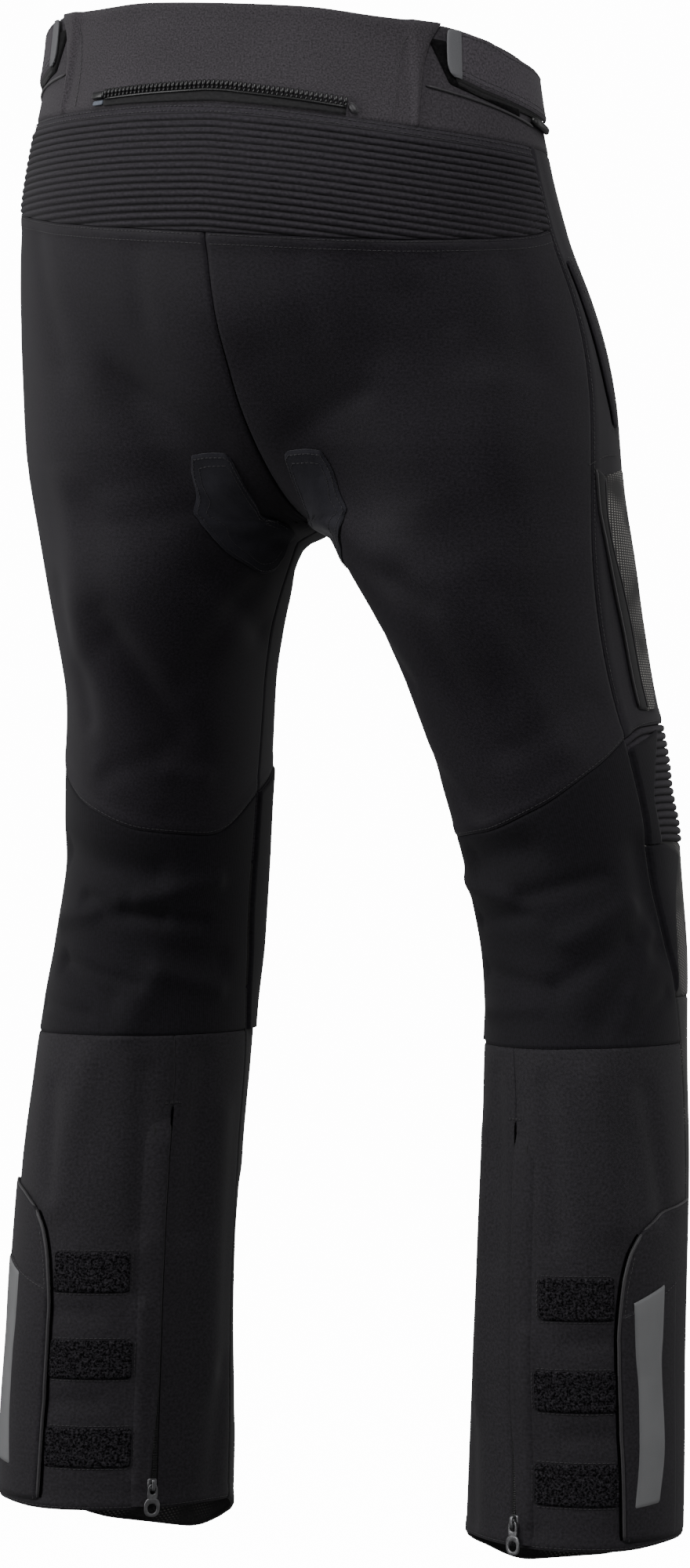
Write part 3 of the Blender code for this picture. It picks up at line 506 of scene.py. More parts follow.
def make_mesh(name, parts, finish, body="garment"):
    """One smooth object at the origin from parts, each an array of points and lists of faces."""
    points, faces, count = [], [], 0
    for some_points, some_faces in parts:
        points.append(some_points)
        for block in some_faces:
            faces += (block + count).tolist()
        count += len(some_points)
    mesh = bpy.data.meshes.new(name)
    mesh.from_pydata(np.concatenate(points), [], faces)
    mesh.polygons.foreach_set("use_smooth", np.ones(len(faces), bool))
    mesh.materials.append(finish)
    piece = bpy.data.objects.new(name, mesh)
    bpy.context.collection.objects.link(piece)
    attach(piece, body)
    return piece


def closed_rings(rings):
    """Rings of points joined in order, with a flat cap at each end. They follow each other along
    +X, and each runs from +Y to +Z, so that the faces point out."""
    count, sides = rings.shape[:2]
    number = np.arange(count * sides).reshape(count, sides)
    turned = np.roll(number, -1, axis=1)
    quads = np.stack([number[:-1], turned[:-1], turned[1:], number[1:]], -1).reshape(-1, 4)
    return rings.reshape(-1, 3), [quads, number[:1, ::-1], number[-1:]]


def round_bar(length, across, out, sides, power=1.0, ends=0.35):
    """A short bar along X with rounded ends. Its section is cos and sin to a power, so that a
    power below 1 squares it up."""
    along = np.array([-1, -0.82, 0, 0.82, 1]) * length / 2
    size = np.array([ends, 1.0 - 0.3 * (1 - ends), 1.0, 1.0 - 0.3 * (1 - ends), ends])
    turn = 2 * math.pi * (np.arange(sides) + 0.5) / sides
    ring_y = np.sign(np.cos(turn)) * np.abs(np.cos(turn)) ** power * across / 2
    ring_z = np.sign(np.sin(turn)) * np.abs(np.sin(turn)) ** power * out / 2
    rings = np.stack([np.broadcast_to(along[:, None], (5, sides)), size[:, None] * ring_y,
                      size[:, None] * ring_z], -1)
    return closed_rings(rings)


def line_on(points, spacing, lift):
    """Places at even steps along a smooth line on the garment, which is a list of (place,
    height), with unit directions along it, across it and out of the cloth."""
    fine = curve_through(points, np.linspace(0, 1, 30 * len(points) + 60))
    leg = np.where(fine[:, 0] < 0, -1.0, 1.0)
    around, height = np.abs(fine[:, 0]), fine[:, 1]
    out = outward(form, leg, around, height)
    middle = form(leg, around, height) + lift * out
    run = np.concatenate([[0], np.cumsum(np.linalg.norm(np.diff(middle, axis=0), axis=1))])
    count = max(1, round(run[-1] / spacing))
    wanted = (np.arange(count) + 0.5) * run[-1] / count
    along = np.gradient(middle, run, axis=0)
    middle, along, out = (np.stack([np.interp(wanted, run, value[:, k]) for k in range(3)], -1)
                          for value in (middle, along, out))
    across = np.cross(out, along)
    across = across / np.linalg.norm(across, axis=-1, keepdims=True)
    out = out / np.linalg.norm(out, axis=-1, keepdims=True)
    return middle, np.cross(across, out), across, out


def at_places(shape, line):
    """Copies of a small shape, one at each place of a line, turned to its directions."""
    points, faces = shape
    middle, along, across, out = line
    moved = middle[:, None] + points[None, :, 0:1] * along[:, None]
    moved = moved + points[None, :, 1:2] * across[:, None] + points[None, :, 2:3] * out[:, None]
    shift = np.arange(len(middle))[:, None, None] * len(points)
    return moved.reshape(-1, 3), [(block[None] + shift).reshape(-1, block.shape[1])
                                  for block in faces]


def bead(points, radius, lift, flat=1.0, step=0.0030, sides=8):
    """A thin rounded roll of cloth along a line on the garment, with closed tapered ends."""
    middle, along, across, out = line_on(points, step, lift)
    taper = np.ones(len(middle))
    taper[0] = taper[-1] = 0.45
    turn = 2 * math.pi * np.arange(sides) / sides
    ring = np.cos(turn)[None, :, None] * across[:, None]
    ring = ring + flat * np.sin(turn)[None, :, None] * out[:, None]
    return closed_rings(middle[:, None] + radius * taper[:, None, None] * ring)


def beside(name, first, last, offset):
    """A line of (place, height) that keeps beside a seam, offset above it."""
    places = np.linspace(first, last, 14)
    return np.stack([places, seam_height(name, places) + offset], -1)


def on_leg(leg, line):
    """A line of (around, height) as one of (place, height), on the left or the right leg."""
    return np.array(line) * (leg, 1)


def seam(name):
    """The height of a named seam as a function of the place around."""
    return lambda place: seam_height(name, place)


hem = seam("hem")


class Strand:
    """One socket of a material. Sums of strands and numbers add Math nodes to the material."""

    def __init__(self, tree, socket=None):
        self.tree = tree
        self.socket = socket

    def add(self, kind, settings=None, values=None, output=0):
        """Any node: its settings are set first, then its sockets get values or links."""
        node = self.tree.nodes.new(kind)
        for name, value in (settings or {}).items():
            setattr(node, name, value)
        for name, value in (values or {}).items():
            if isinstance(value, Strand):
                self.tree.links.new(value.socket, node.inputs[name])
            else:
                node.inputs[name].default_value = value
        return Strand(self.tree, node.outputs[output])

    def on_object(self):
        """The object's own coordinates."""
        return self.add("ShaderNodeTexCoord", None, None, 3)

    def on_weave(self):
        """The places on the cloth in metres, across and along its weave."""
        return self.add("ShaderNodeUVMap", {"uv_map": "weave"})

    def feed(self, shader, name):
        """Links this strand to a socket of the shader."""
        self.tree.links.new(self.socket, shader.inputs[name])

    def maths(self, operation, *values):
        return self.add("ShaderNodeMath", {"operation": operation}, dict(enumerate(values)))

    def __add__(self, other):
        return self.maths("ADD", self, other)

    def __mul__(self, other):
        return self.maths("MULTIPLY", self, other)

    def __sub__(self, other):
        return self.maths("SUBTRACT", self, other)

    def __rsub__(self, other):
        return self.maths("SUBTRACT", other, self)

    __radd__ = __add__
    __rmul__ = __mul__

    def wave(self, length):
        """The sine of this strand, one turn for each length."""
        return (self * (2 * math.pi / length)).maths("SINE", self * (2 * math.pi / length))

    def ramp(self, low, high):
        """0 below low and 1 above high, with a straight ramp between."""
        values = {0: self, 1: low, 2: high, 3: 0.0, 4: 1.0}
        return self.add("ShaderNodeMapRange", {"clamp": True}, values)

    def mix(self, first, second):
        """A colour that is first where this strand is 0 and second where it is 1."""
        values = {"Factor": self, 6: (*first, 1) if isinstance(first, tuple) else first,
                  7: (*second, 1) if isinstance(second, tuple) else second}
        return self.add("ShaderNodeMix", {"data_type": "RGBA"}, values, 2)

    def scaled(self, factor):
        """A colour made lighter or darker by a factor."""
        return self.add("ShaderNodeVectorMath", {"operation": "SCALE"}, {0: self, "Scale": factor})

    def grain(self, size, detail=2.0, roughness=0.5):
        """Noise in cells about so many metres wide, at this strand's place."""
        values = {"Vector": self, "Scale": 1 / size, "Detail": detail, "Roughness": roughness}
        return self.add("ShaderNodeTexNoise", None, values)

    def bump(self, depth, strength=0.6):
        """A normal from this strand as a height, 1 of it being depth metres."""
        values = {"Height": self, "Distance": depth, "Strength": strength}
        return self.add("ShaderNodeBump", None, values)


def start_finish(name, shader_values):
    """A new material. Gives it, its shader node and a strand for its tree."""
    material = bpy.data.materials.new(name)
    material.use_nodes = True
    shader = material.node_tree.nodes["Principled BSDF"]
    for socket, value in shader_values.items():
        shader.inputs[socket].default_value = value
    return material, shader, Strand(material.node_tree)


def woven(name, dark, light, roughness, thread, depth, mottle, sheen=0.05, gloss=0.12,
          ribbed=0.0, print_on=None, groove_shaded=False):
    """A woven cloth. Its threads cross as the product of two sines along the weave's two
    directions, thread metres apart, and colour follows them and a fine uneven grain. A ribbed
    cloth has lines that run down it, ribbed metres apart. A grooved one gets painted shade: its
    colour is darker where the mesh's groove attribute is 1, in the grooves between ribs."""
    material, shader, strand = start_finish(name, {
        "Sheen Weight": sheen, "Sheen Roughness": 0.45, "Specular IOR Level": gloss})
    place = strand.on_weave()
    across = strand.add("ShaderNodeSeparateXYZ", None, {0: place})
    along = strand.add("ShaderNodeSeparateXYZ", None, {0: place}, 1)
    cross = across.wave(thread) * along.wave(thread) * 0.5 + 0.5
    if ribbed:
        cross = cross * 0.35 + (across.wave(ribbed) * 0.35 + 0.35)
    speck = place.grain(thread * 2.0, 3.0, 0.65)
    cloudy = place.grain(0.045, 2.0)
    shade = (cross * 0.35 + speck * 2.2 - 0.88).ramp(0.0, 0.80)
    colour = shade.mix(dark, light)
    colour = colour.scaled(cloudy * mottle + (1 - 0.5 * mottle))
    # painted shade: the colour is darkened where the groove attribute is high, in the rib grooves
    if groove_shaded:
        groove_shade = strand.add("ShaderNodeAttribute", {"attribute_name": "groove_shade"}, None, 2)
        colour = colour.scaled(1 - groove_shade * 0.88)
    if print_on:
        colour = print_on(colour, place, across, along)
    colour.feed(shader, "Base Color")
    (speck * 0.16 + (roughness - 0.08)).feed(shader, "Roughness")
    (cross * 0.6 + speck * 0.5).bump(depth).feed(shader, "Normal")
    return material


thigh_cloth = woven("thigh_cloth", (0.0034, 0.0028, 0.0042), (0.0122, 0.0105, 0.0138), 0.62, 0.0008,
                    0.00012, 0.5)


for leg, side in SIDES:
    first, last = sorted((0.0, leg * SIDE_SEAM))
    panel = cut_panel(leg, first, last, seam("yoke_end"), seam("thigh_end"),
                      edges=("turned", "turned", "stitched", "stitched"))
    add_cloth(f"seat_{side}_cloth", panel, CLOTH, thigh_cloth, f"seat_{side}")

# Topstitching of the seat
# Black polyester thread in 3.2 mm lockstitches: two rows under the yoke, one above the knee.
STITCH_PITCH = 0.0032
STITCH = round_bar(0.0025, 0.00055, 0.00050, 4, 1.0, 0.4)
ROW_START = 0.004
ROW_END = 0.456
KNEE_ROW = 0.0022
thread_black, shader, strand = start_finish("thread_black", {
    "Roughness": 0.5, "Specular IOR Level": 0.3, "Sheen Weight": 0.1})
twist = strand.on_object().grain(0.0015, 1.0)
twist.mix((0.0060, 0.0054, 0.0064), (0.0200, 0.0184, 0.0210)).feed(shader, "Base Color")


def sew(name, rows, lift=0.0004):
    """Rows of stitches along lines on the garment, as one mesh."""
    parts = [at_places(STITCH, line_on(row, STITCH_PITCH, lift)) for row in rows]
    return make_mesh(name, parts, thread_black)


rows = []
for leg in (1, -1):
    ends = (leg * ROW_END, leg * ROW_START)
    rows += [beside("yoke_end", *ends, -NEAR_STITCH), beside("yoke_end", *ends, -FAR_STITCH),
             beside("thigh_end", *ends, KNEE_ROW)]
sew("seat_stitching", rows)

# Inner-thigh patches
# Soft black suede where the legs grip, one on each side of the crotch, sewn on with two rows.
PATCH_CLOTH = 0.0010
SUEDE_RISE = 0.0017
SUEDE_ROWS = (0.0022, 0.0075)
SUEDE_MIDDLE = (0.097, -0.280)
SUEDE_FORK = (0.112, -0.290)
suede, shader, strand = start_finish("suede", {
    "Sheen Weight": 0.12, "Sheen Roughness": 0.35, "Specular IOR Level": 0.06, "Roughness": 0.95})
place = strand.on_weave()
nap = place.grain(0.0011, 4.0, 0.7)
brushed = place.grain(0.016, 3.0, 0.6)
(nap * 0.6 + brushed * 0.7 - 0.25).ramp(0.05, 0.75).mix(
    (0.0065, 0.0063, 0.0080), (0.0265, 0.0258, 0.0315)).feed(shader, "Base Color")
(nap * 0.8 + brushed * 0.6).bump(0.00022, 0.7).feed(shader, "Normal")
SUEDE_TOP = [(0.0440, -0.2465), (0.0517, -0.2440), (0.0767, -0.2433), (0.1067, -0.2448)]
SUEDE_OUTER = [(0.1067, -0.2448), (0.1250, -0.2560), (0.1383, -0.2695), (0.1600, -0.2853),
               (0.1350, -0.2988)]
SUEDE_BOTTOM = [(0.0240, -0.3070), (0.0367, -0.3165), (0.0550, -0.3190), (0.0833, -0.3145),
                (0.1133, -0.3078), (0.1350, -0.2988)]
SUEDE_INNER = [(0.0440, -0.2465), (0.0483, -0.2590), (0.0567, -0.2732), (0.0780, -0.2845),
               (0.0600, -0.2885), (0.0240, -0.2960), (0.0240, -0.3070)]


def inset(edge, middle, amount):
    """A line moved towards a middle by so many metres."""
    away = (np.array(edge) - middle) * (SPAN, 1)
    length = np.linalg.norm(away, axis=1, keepdims=True)
    return (away * (1 - amount / length)) / (SPAN, 1) + middle


for leg, side in SIDES:
    panel = cut_patch(leg, SUEDE_TOP, SUEDE_OUTER, SUEDE_BOTTOM, SUEDE_INNER)
    add_cloth(f"inner_patch_{side}_suede", panel, PATCH_CLOTH, suede, f"inner_patch_{side}",
              SUEDE_RISE)
    rows = []
    for amount in SUEDE_ROWS:
        for edge in (SUEDE_TOP, SUEDE_OUTER, SUEDE_BOTTOM):
            rows.append(on_leg(leg, inset(edge, SUEDE_MIDDLE, amount)))
        rows.append(on_leg(leg, inset(SUEDE_INNER[:5], SUEDE_FORK, amount)))
    sew(f"inner_patch_{side}_stitching", rows, SUEDE_RISE + 0.0001)

# Front panels
# Two panels of the same cloth from the waist seam to the knee, which meet under the fly, with a
# stitched placket over the fly's zip.
FLAP_CLOTH = 0.0016
FLY_RISE = 0.0022
FLY_EDGE = [(0.930, -0.0450), (0.930, -0.1500), (0.945, -0.1850)]
FLY_CENTRE = [(0.992, -0.0460), (0.992, -0.2050)]
FLY_ROWS = [[(0.934, -0.048), (0.934, -0.150), (0.949, -0.183), (0.988, -0.201)],
            [(0.946, -0.048), (0.946, -0.146), (0.960, -0.174), (0.988, -0.189)]]
for leg, side in SIDES:
    first, last = sorted((leg * SIDE_SEAM, leg * 1.0))
    edges = ("stitched", "turned") if leg == 1 else ("turned", "stitched")
    panel = cut_panel(leg, first, last, seam("waist_seam"), seam("thigh_end"), step=0.0042,
                      edges=(*edges, "turned", "stitched"))
    add_cloth(f"front_{side}_cloth", panel, CLOTH, thigh_cloth, f"front_{side}")
panel = cut_patch(1, [FLY_EDGE[0], FLY_CENTRE[0]], FLY_CENTRE, [FLY_EDGE[-1], FLY_CENTRE[-1]],
                  FLY_EDGE)
add_cloth("fly_cloth", panel, FLAP_CLOTH, thigh_cloth, "fly",
          FLY_RISE)
sew("front_stitching", FLY_ROWS, FLY_RISE + 0.0001)
rows = []
for leg in (1, -1):
    start = leg * (SIDE_SEAM + NEAR_STITCH / SPAN)
    rows += [[(start, -0.050), (start, -0.200), (start, -0.410)],
             beside("thigh_end", leg * 0.47, leg * 0.99, KNEE_ROW)]
sew("side_stitching", rows)

# Hand pockets
# A slanted opening in each front beside the side seam, with a folded welt along its front edge
# and a near-black bead behind it as painted shade in the opening.
# painted shade: a near-black, matt material for beads that stand in for shade in openings and under
# flap edges
painted_shade_black, shader, strand = start_finish("painted_shade_black", {"Roughness": 1.0,
                                                         "Specular IOR Level": 0.0})
place = strand.on_object()
place.grain(0.002).mix((0.0006, 0.0006, 0.0007), (0.0018, 0.0017, 0.0019)).feed(
    shader, "Base Color")
WELT_RISE = 0.0019
POCKET_BACK = [(0.476, -0.1000), (0.486, -0.1520), (0.496, -0.1900), (0.510, -0.2190)]
POCKET_FRONT = [(0.490, -0.0990), (0.503, -0.1400), (0.516, -0.1800), (0.522, -0.2190)]
for leg, side in SIDES:
    panel = cut_patch(leg, [POCKET_BACK[0], POCKET_FRONT[0]], POCKET_FRONT,
                      [POCKET_BACK[-1], POCKET_FRONT[-1]], POCKET_BACK)
    add_cloth(f"pocket_welt_{side}_cloth", panel, FLAP_CLOTH, thigh_cloth, f"pocket_welt_{side}",
              WELT_RISE)
    # painted shade: a near-black bead in the pocket's opening
    slit_shade = on_leg(leg, POCKET_BACK) - (leg * 0.0022, 0)
    make_mesh(f"pocket_{side}_slit", [bead(slit_shade, 0.0008, 0.0002, 0.5)], painted_shade_black)
    rows = [on_leg(leg, POCKET_FRONT) - (leg * 0.0040, 0),
            [(leg * 0.474, -0.0985), (leg * 0.490, -0.0975)],
            [(leg * 0.508, -0.2215), (leg * 0.524, -0.2205)]]
    sew(f"pocket_{side}_stitching", rows, WELT_RISE + 0.0003)

# Printed side panels
# Smooth dark panels on the outer thighs, printed with a grid of small grey squares that fades in
# soft bands. The seat panel's edge is bound and laid over each one's back edge.
PRINT_RISE = 0.0014
FACING_RISE = 0.0019
PRINT_GREY = (0.250, 0.242, 0.230)


def printed(pitch, share, slant, fade_size, low, high, seed, grey=PRINT_GREY):
    """A print of small grey marks in a grid. A mark is where the product of two waves, one along
    each line of the grid, is high. Slow noise makes the marks fade out unevenly, and they end
    before the inseam."""
    def print_on(colour, place, across, along):
        one, two = (across * 0.6 + along * slant), (along - across * 0.6 * slant)
        dots = one.wave(pitch) * two.wave(pitch)
        field = place.add("ShaderNodeVectorMath", {"operation": "ADD"}, {0: place, 1: (seed, 0, 0)})
        fade = field.grain(fade_size, 1.0, 0.4).ramp(low, high)
        inseam = across.maths("ABSOLUTE", across).ramp(0.78 * SPAN, 0.88 * SPAN)
        fade = fade * (1 - inseam)
        mask = (dots.maths("ABSOLUTE", dots) - (1 - share)).ramp(0.0, 0.22) * fade
        return mask.mix(colour, grey)
    return print_on


side_cloth = woven("side_cloth", (0.0055, 0.0050, 0.0050), (0.0130, 0.0120, 0.0118), 0.55, 0.0008,
                   0.00008, 0.3, print_on=printed(0.0034, 0.42, 0.0, 0.034, 0.38, 0.54, 0.3))
facing_cloth = woven("facing_cloth", (0.0045, 0.0043, 0.0046), (0.0120, 0.0115, 0.0122), 0.6,
                     0.0008, 0.00010, 0.3)
PRINT_FRONT = [(0.5360, -0.2500), (0.5600, -0.3300), (0.5600, -0.3900), (0.5450, -0.4120)]
BOUND_EDGE = [(0.4625, -0.2520), (0.4680, -0.2800), (0.4770, -0.3010), (0.4880, -0.3350),
              (0.4965, -0.3700), (0.4985, -0.4130)]
PRINT_EDGE = [(0.4800, -0.2570), (0.4820, -0.2800), (0.4900, -0.3048), (0.5050, -0.3333),
              (0.5150, -0.3620), (0.5200, -0.4140)]
for leg, side in SIDES:
    panel = cut_patch(leg, [PRINT_EDGE[0], PRINT_FRONT[0]], PRINT_FRONT,
                      [PRINT_EDGE[-1], PRINT_FRONT[-1]], PRINT_EDGE,
                      edges=("turned", "open", "turned", "open"))
    add_cloth(f"side_print_{side}_cloth", panel, PATCH_CLOTH, side_cloth, f"side_print_{side}",
              PRINT_RISE)
    panel = cut_patch(leg, [BOUND_EDGE[0], PRINT_EDGE[0]], PRINT_EDGE,
                      [BOUND_EDGE[-1], PRINT_EDGE[-1]], BOUND_EDGE)
    add_cloth(f"side_facing_{side}_cloth", panel, PATCH_CLOTH, facing_cloth, None,
              FACING_RISE)
    parts = [bead(on_leg(leg, BOUND_EDGE), 0.0010, 0.0016),
             bead(on_leg(leg, PRINT_EDGE), 0.0007, 0.0016)]
    make_mesh(f"side_binding_{side}", parts, thread_black)
    rows = [on_leg(leg, [(0.452, -0.2510), (0.488, -0.2420), (0.514, -0.2400)])]
    sew(f"side_print_{side}_stitching", rows)

# Ribbed yoke
# One stretch panel across the seat. Elastic threads sewn in rows draw it into round ribs, which
# run parallel to the waist seam and are cut off where the panel meets the seat.
YOKE_RIB_PITCH = 0.0047
YOKE_RIB_RISE = 0.0027
YOKE_RIB_ROWS = 18
RIB_STEPS = 10
# below the waist seam: the first groove, and where the ribs start and reach their full size
FIRST_GROOVE = 0.0075
RIBS_START = (0.0060, 0.0080)


def groove_shade_mask(distance, pitch):
    """Where painted shade darkens a groove: 1 in its middle, and 0 from a millimetre beside it."""
    away = np.abs(distance / pitch - np.round(distance / pitch)) * pitch
    return np.exp(-(away / 0.00065) ** 2)


def rib_rise(distance, pitch, rise):
    """Round ribs with narrow grooves: the absolute sine of the distance along them."""
    return rise * (np.abs(np.sin(math.pi * distance / pitch)) ** 0.42 - 0.45)


# its groove attribute paints shade into the grooves between the ribs
stretch_cloth = woven("stretch_cloth", (0.0066, 0.0057, 0.0075), (0.0222, 0.0196, 0.0244), 0.70,
                      0.0009, 0.00010, 0.3, groove_shaded=True)
yoke_shares = np.linspace(0, 1, YOKE_RIB_ROWS * RIB_STEPS + 1)
panel = cut_panel(0, -SIDE_SEAM, SIDE_SEAM, seam("waist_seam"), seam("yoke_end"), step=0.0045,
                  shares=yoke_shares)
below = seam_height("waist_seam", panel["around"]) - panel["height"]
ribs = rib_rise(below - FIRST_GROOVE, YOKE_RIB_PITCH, YOKE_RIB_RISE) * ease(*RIBS_START, below)
above = panel["height"] > seam_height("yoke_end", panel["around"])
panel["relief"] = panel["relief"] + np.where(above, ribs, 0.0)
# painted shade: darkens the colour in the middle of each groove between the ribs
panel["groove_shade"] = groove_shade_mask(below - FIRST_GROOVE, YOKE_RIB_PITCH) * ease(*RIBS_START, below)
add_cloth("yoke_ribbed_cloth", panel, CLOTH, stretch_cloth, "yoke_ribbed")
rows = [beside("waist_seam", ROW_END, -ROW_END, -below) for below in (0.0024, 0.0058)]
sew("yoke_stitching", rows)

# Waistband
# A stiff band of brushed dark grey cloth: the back one stands over plain stretch panels at the
# sides, and two front ones close under a snap.
BAND_CLOTH = 0.0024
BAND_EDGE = 0.25
SIDE_BAND_END = 0.60
# the back band turns outwards from this place around, and lies so far off the side panels
BAND_TURN = 0.20
BAND_OVERLAP = 0.0004
# height, then how far round the slanted end of the back band reaches
BAND_END = np.array([(-0.0260, 0.252), (0.0100, 0.262), (0.0270, 0.273), (0.0470, 0.301)])
band_cloth = woven("band_cloth", (0.0102, 0.0090, 0.0106), (0.0400, 0.0358, 0.0408), 0.80, 0.0006,
                   0.00008, 0.35, sheen=0.08)
side_stretch = woven("side_stretch", (0.0105, 0.0093, 0.0110), (0.0350, 0.0312, 0.0362), 0.75,
                     0.0008, 0.00012, 0.3)
for node, first, last, finish, slot in (
        ("waistband_back", -BAND_EDGE, BAND_EDGE, band_cloth, "band"),
        ("waist_side_left", BAND_EDGE, SIDE_BAND_END, side_stretch, "stretch"),
        ("waist_side_right", -SIDE_BAND_END, -BAND_EDGE, side_stretch, "stretch"),
        ("waistband_front_left", SIDE_BAND_END, 1.0, band_cloth, "band"),
        ("waistband_front_right", -1.0, -SIDE_BAND_END, band_cloth, "band")):
    leg = 0 if first * last < 0 else (1 if first > 0 else -1)
    panel = cut_panel(leg, first, last, seam("waist_top"), seam("waist_seam"), step=0.0032,
                      edges=("turned", "turned", "stitched", "turned"))
    if leg == 0:
        place = np.abs(panel["place"])
        reach = smooth(BAND_END[:, 0], BAND_END[:, 1], panel["height"]) - BAND_EDGE
        place = place + reach * np.clip((place - BAND_TURN) / (BAND_EDGE - BAND_TURN), 0, 1)
        signs = np.sign(panel["place"])
        over = (BAND_CLOTH + BAND_OVERLAP) * ease(0.242, 0.252, place)
        over = np.where(panel["relief"] < UNDER, 0.0, over)
        panel = on_form(signs, signs * place, panel["height"], panel["relief"] + over)
    add_cloth(f"{node}_cloth", panel, BAND_CLOTH, finish, node)
rows = [beside("waist_top", 0.245, -0.245, -0.0028)]
for leg in (1, -1):
    rows += [beside("waist_top", leg * 0.605, leg * 0.995, -0.0028),
             beside("waist_seam", leg * 0.605, leg * 0.995, 0.0028),
             [(leg * 0.2900, 0.0395), (leg * 0.2640, 0.0240), (leg * 0.2460, -0.0230)],
             [(leg * 0.2560, 0.0400), (leg * 0.2330, 0.0240), (leg * 0.2190, -0.0230)]]
sew("waistband_stitching", rows)

# Rear connection zip
# The jacket's zip: one row of chunky moulded teeth on a tape that is sewn along the bottom of the
# back band, with an end box and a small bluish tape end on the wearer's left.
TOOTH_PITCH = 0.0033
TEETH_RISE = 0.0026
gloss_black, shader, strand = start_finish("gloss_black", {
    "Roughness": 0.30, "Specular IOR Level": 0.32})
place = strand.on_object()
scuff = place.grain(0.0008, 3.0)
scuff.mix((0.0040, 0.0040, 0.0042), (0.0110, 0.0110, 0.0115)).feed(shader, "Base Color")
(scuff * 0.25 + 0.22).feed(shader, "Roughness")
scuff.bump(0.00004, 0.4).feed(shader, "Normal")
tape_cloth = woven("tape_cloth", (0.0035, 0.0034, 0.0037), (0.0120, 0.0116, 0.0124), 0.7, 0.0010,
                   0.00016, 0.3)


def rear_zip_height(place, offset):
    """Height of the rear zip's teeth above the waist seam, falling away to both sides."""
    place = np.abs(place)
    return seam_height("waist_seam", place) + 0.0115 - 0.018 * place + offset


def rear_line(offset, first=0.160, last=-0.163):
    """A line beside the rear zip, from the wearer's left to the wearer's right."""
    places = np.linspace(first, last, 16)
    return np.stack([places, rear_zip_height(places, offset)], -1)


heads = round_bar(0.0021, 0.0042, 0.0026, 8, 0.6, 0.7)
necks = round_bar(0.0012, 0.0030, 0.0022, 6, 0.7, 0.8)
parts = [at_places(heads, line_on(rear_line(0.0010), TOOTH_PITCH, TEETH_RISE)),
         at_places(necks, line_on(rear_line(-0.0020), TOOTH_PITCH, 0.0024)),
         bead(rear_line(-0.0035), 0.0008, 0.0020)]
box = round_bar(0.0098, 0.0052, 0.0034, 12, 0.5, 0.85)
parts.append(at_places(box, line_on(rear_line(-0.0008, 0.1745, 0.1640), 0.02, TEETH_RISE)))
piece = make_mesh("rear_zip_teeth", parts, gloss_black)
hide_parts("rear_zip")
places = np.linspace(-0.1600, 0.1600, 60)
shares = np.linspace(0, 1, 6)[:, None]
top, bottom = rear_zip_height(places, -0.0010), seam_height("waist_seam", places) + 0.0008
height = top + shares * (bottom - top)
place = np.broadcast_to(places, height.shape)
panel = on_form(np.where(place < 0, -1.0, 1.0), place, height, np.zeros(height.shape))
add_cloth("rear_zip_tape", panel, 0.0010, tape_cloth, None,
          0.0013)
tail, shader, strand = start_finish("blue_grey_tape", {"Roughness": 0.8})
place = strand.on_object()
place.grain(0.0009).mix((0.040, 0.047, 0.062), (0.090, 0.102, 0.128)).feed(shader, "Base Color")
shape = round_bar(0.0088, 0.0034, 0.0016, 8, 0.5, 0.8)
line = line_on(rear_line(-0.0056, 0.1740, 0.1645), 0.02, 0.0014)
make_mesh("rear_zip_tail", [at_places(shape, line)], tail)
curl = [(-0.163, float(rear_zip_height(0.163, 0.0010))), (-0.1705, -0.0205), (-0.1760, -0.0235)]
make_mesh("rear_zip_end", [bead(curl, 0.0024, 0.0016, 0.6)], thread_black)

# Snap
# A round metal cap on the front band, over the fly, pressed through the cloth.
cap_metal, shader, strand = start_finish("cap_metal", {"Metallic": 1.0, "Roughness": 0.38})
place = strand.on_object()
brush = place.grain(0.0012, 3.0)
brush.mix((0.10, 0.10, 0.105), (0.21, 0.21, 0.215)).feed(shader, "Base Color")
(brush * 0.2 + 0.28).feed(shader, "Roughness")
CAP_PROFILE = np.array([(0.0, 0.0078), (0.0008, 0.0080), (0.0016, 0.0072), (0.0021, 0.0060),
                        (0.0021, 0.0048), (0.0017, 0.0036), (0.0022, 0.0022), (0.0024, 0.0008)])
middle, along, across, out = line_on([(0.960, -0.0210), (0.964, -0.0210)], 0.1, 0.0)
turn = 2 * math.pi * np.arange(32) / 32
rings = np.stack([np.broadcast_to(CAP_PROFILE[:, :1], (8, 32)), CAP_PROFILE[:, 1:] * np.cos(turn),
                  CAP_PROFILE[:, 1:] * np.sin(turn)], -1)
cap = at_places(closed_rings(rings), (middle, out, along, across))
piece = make_mesh("snap_cap", [cap], cap_metal)
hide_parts("snap_button")

# Waist adjusters
# At each side a loop panel takes a stretch strap with a moulded end. The strap's doubled lower
# layers run back to a bar of glossy plastic over the side seam.
strap_cloth = woven("strap_cloth", (0.0150, 0.0132, 0.0156), (0.0520, 0.0465, 0.0540), 0.75, 0.0008,
                    0.00012, 0.3)
loop_dark = woven("loop_dark", (0.0012, 0.0012, 0.0014), (0.0060, 0.0058, 0.0062), 0.95, 0.0012,
                  0.00035, 0.3, gloss=0.03)
moulded, shader, strand = start_finish("moulded", {"Roughness": 0.48, "Specular IOR Level": 0.35})
place = strand.on_weave()
fine = place.grain(0.0007, 3.0)
fine.mix((0.034, 0.034, 0.037), (0.064, 0.065, 0.070)).feed(shader, "Base Color")
fine.bump(0.00006, 0.5).feed(shader, "Normal")
STRAP_CLOTH = 0.0016
LAYER_CLOTH = 0.0007
STRAP_END_CLOTH = 0.0018
LOOP_RISE = 0.0014
STRAP_RISE = 0.0036
STRAP_END_RISE = 0.0044
END_RIM = 0.0006
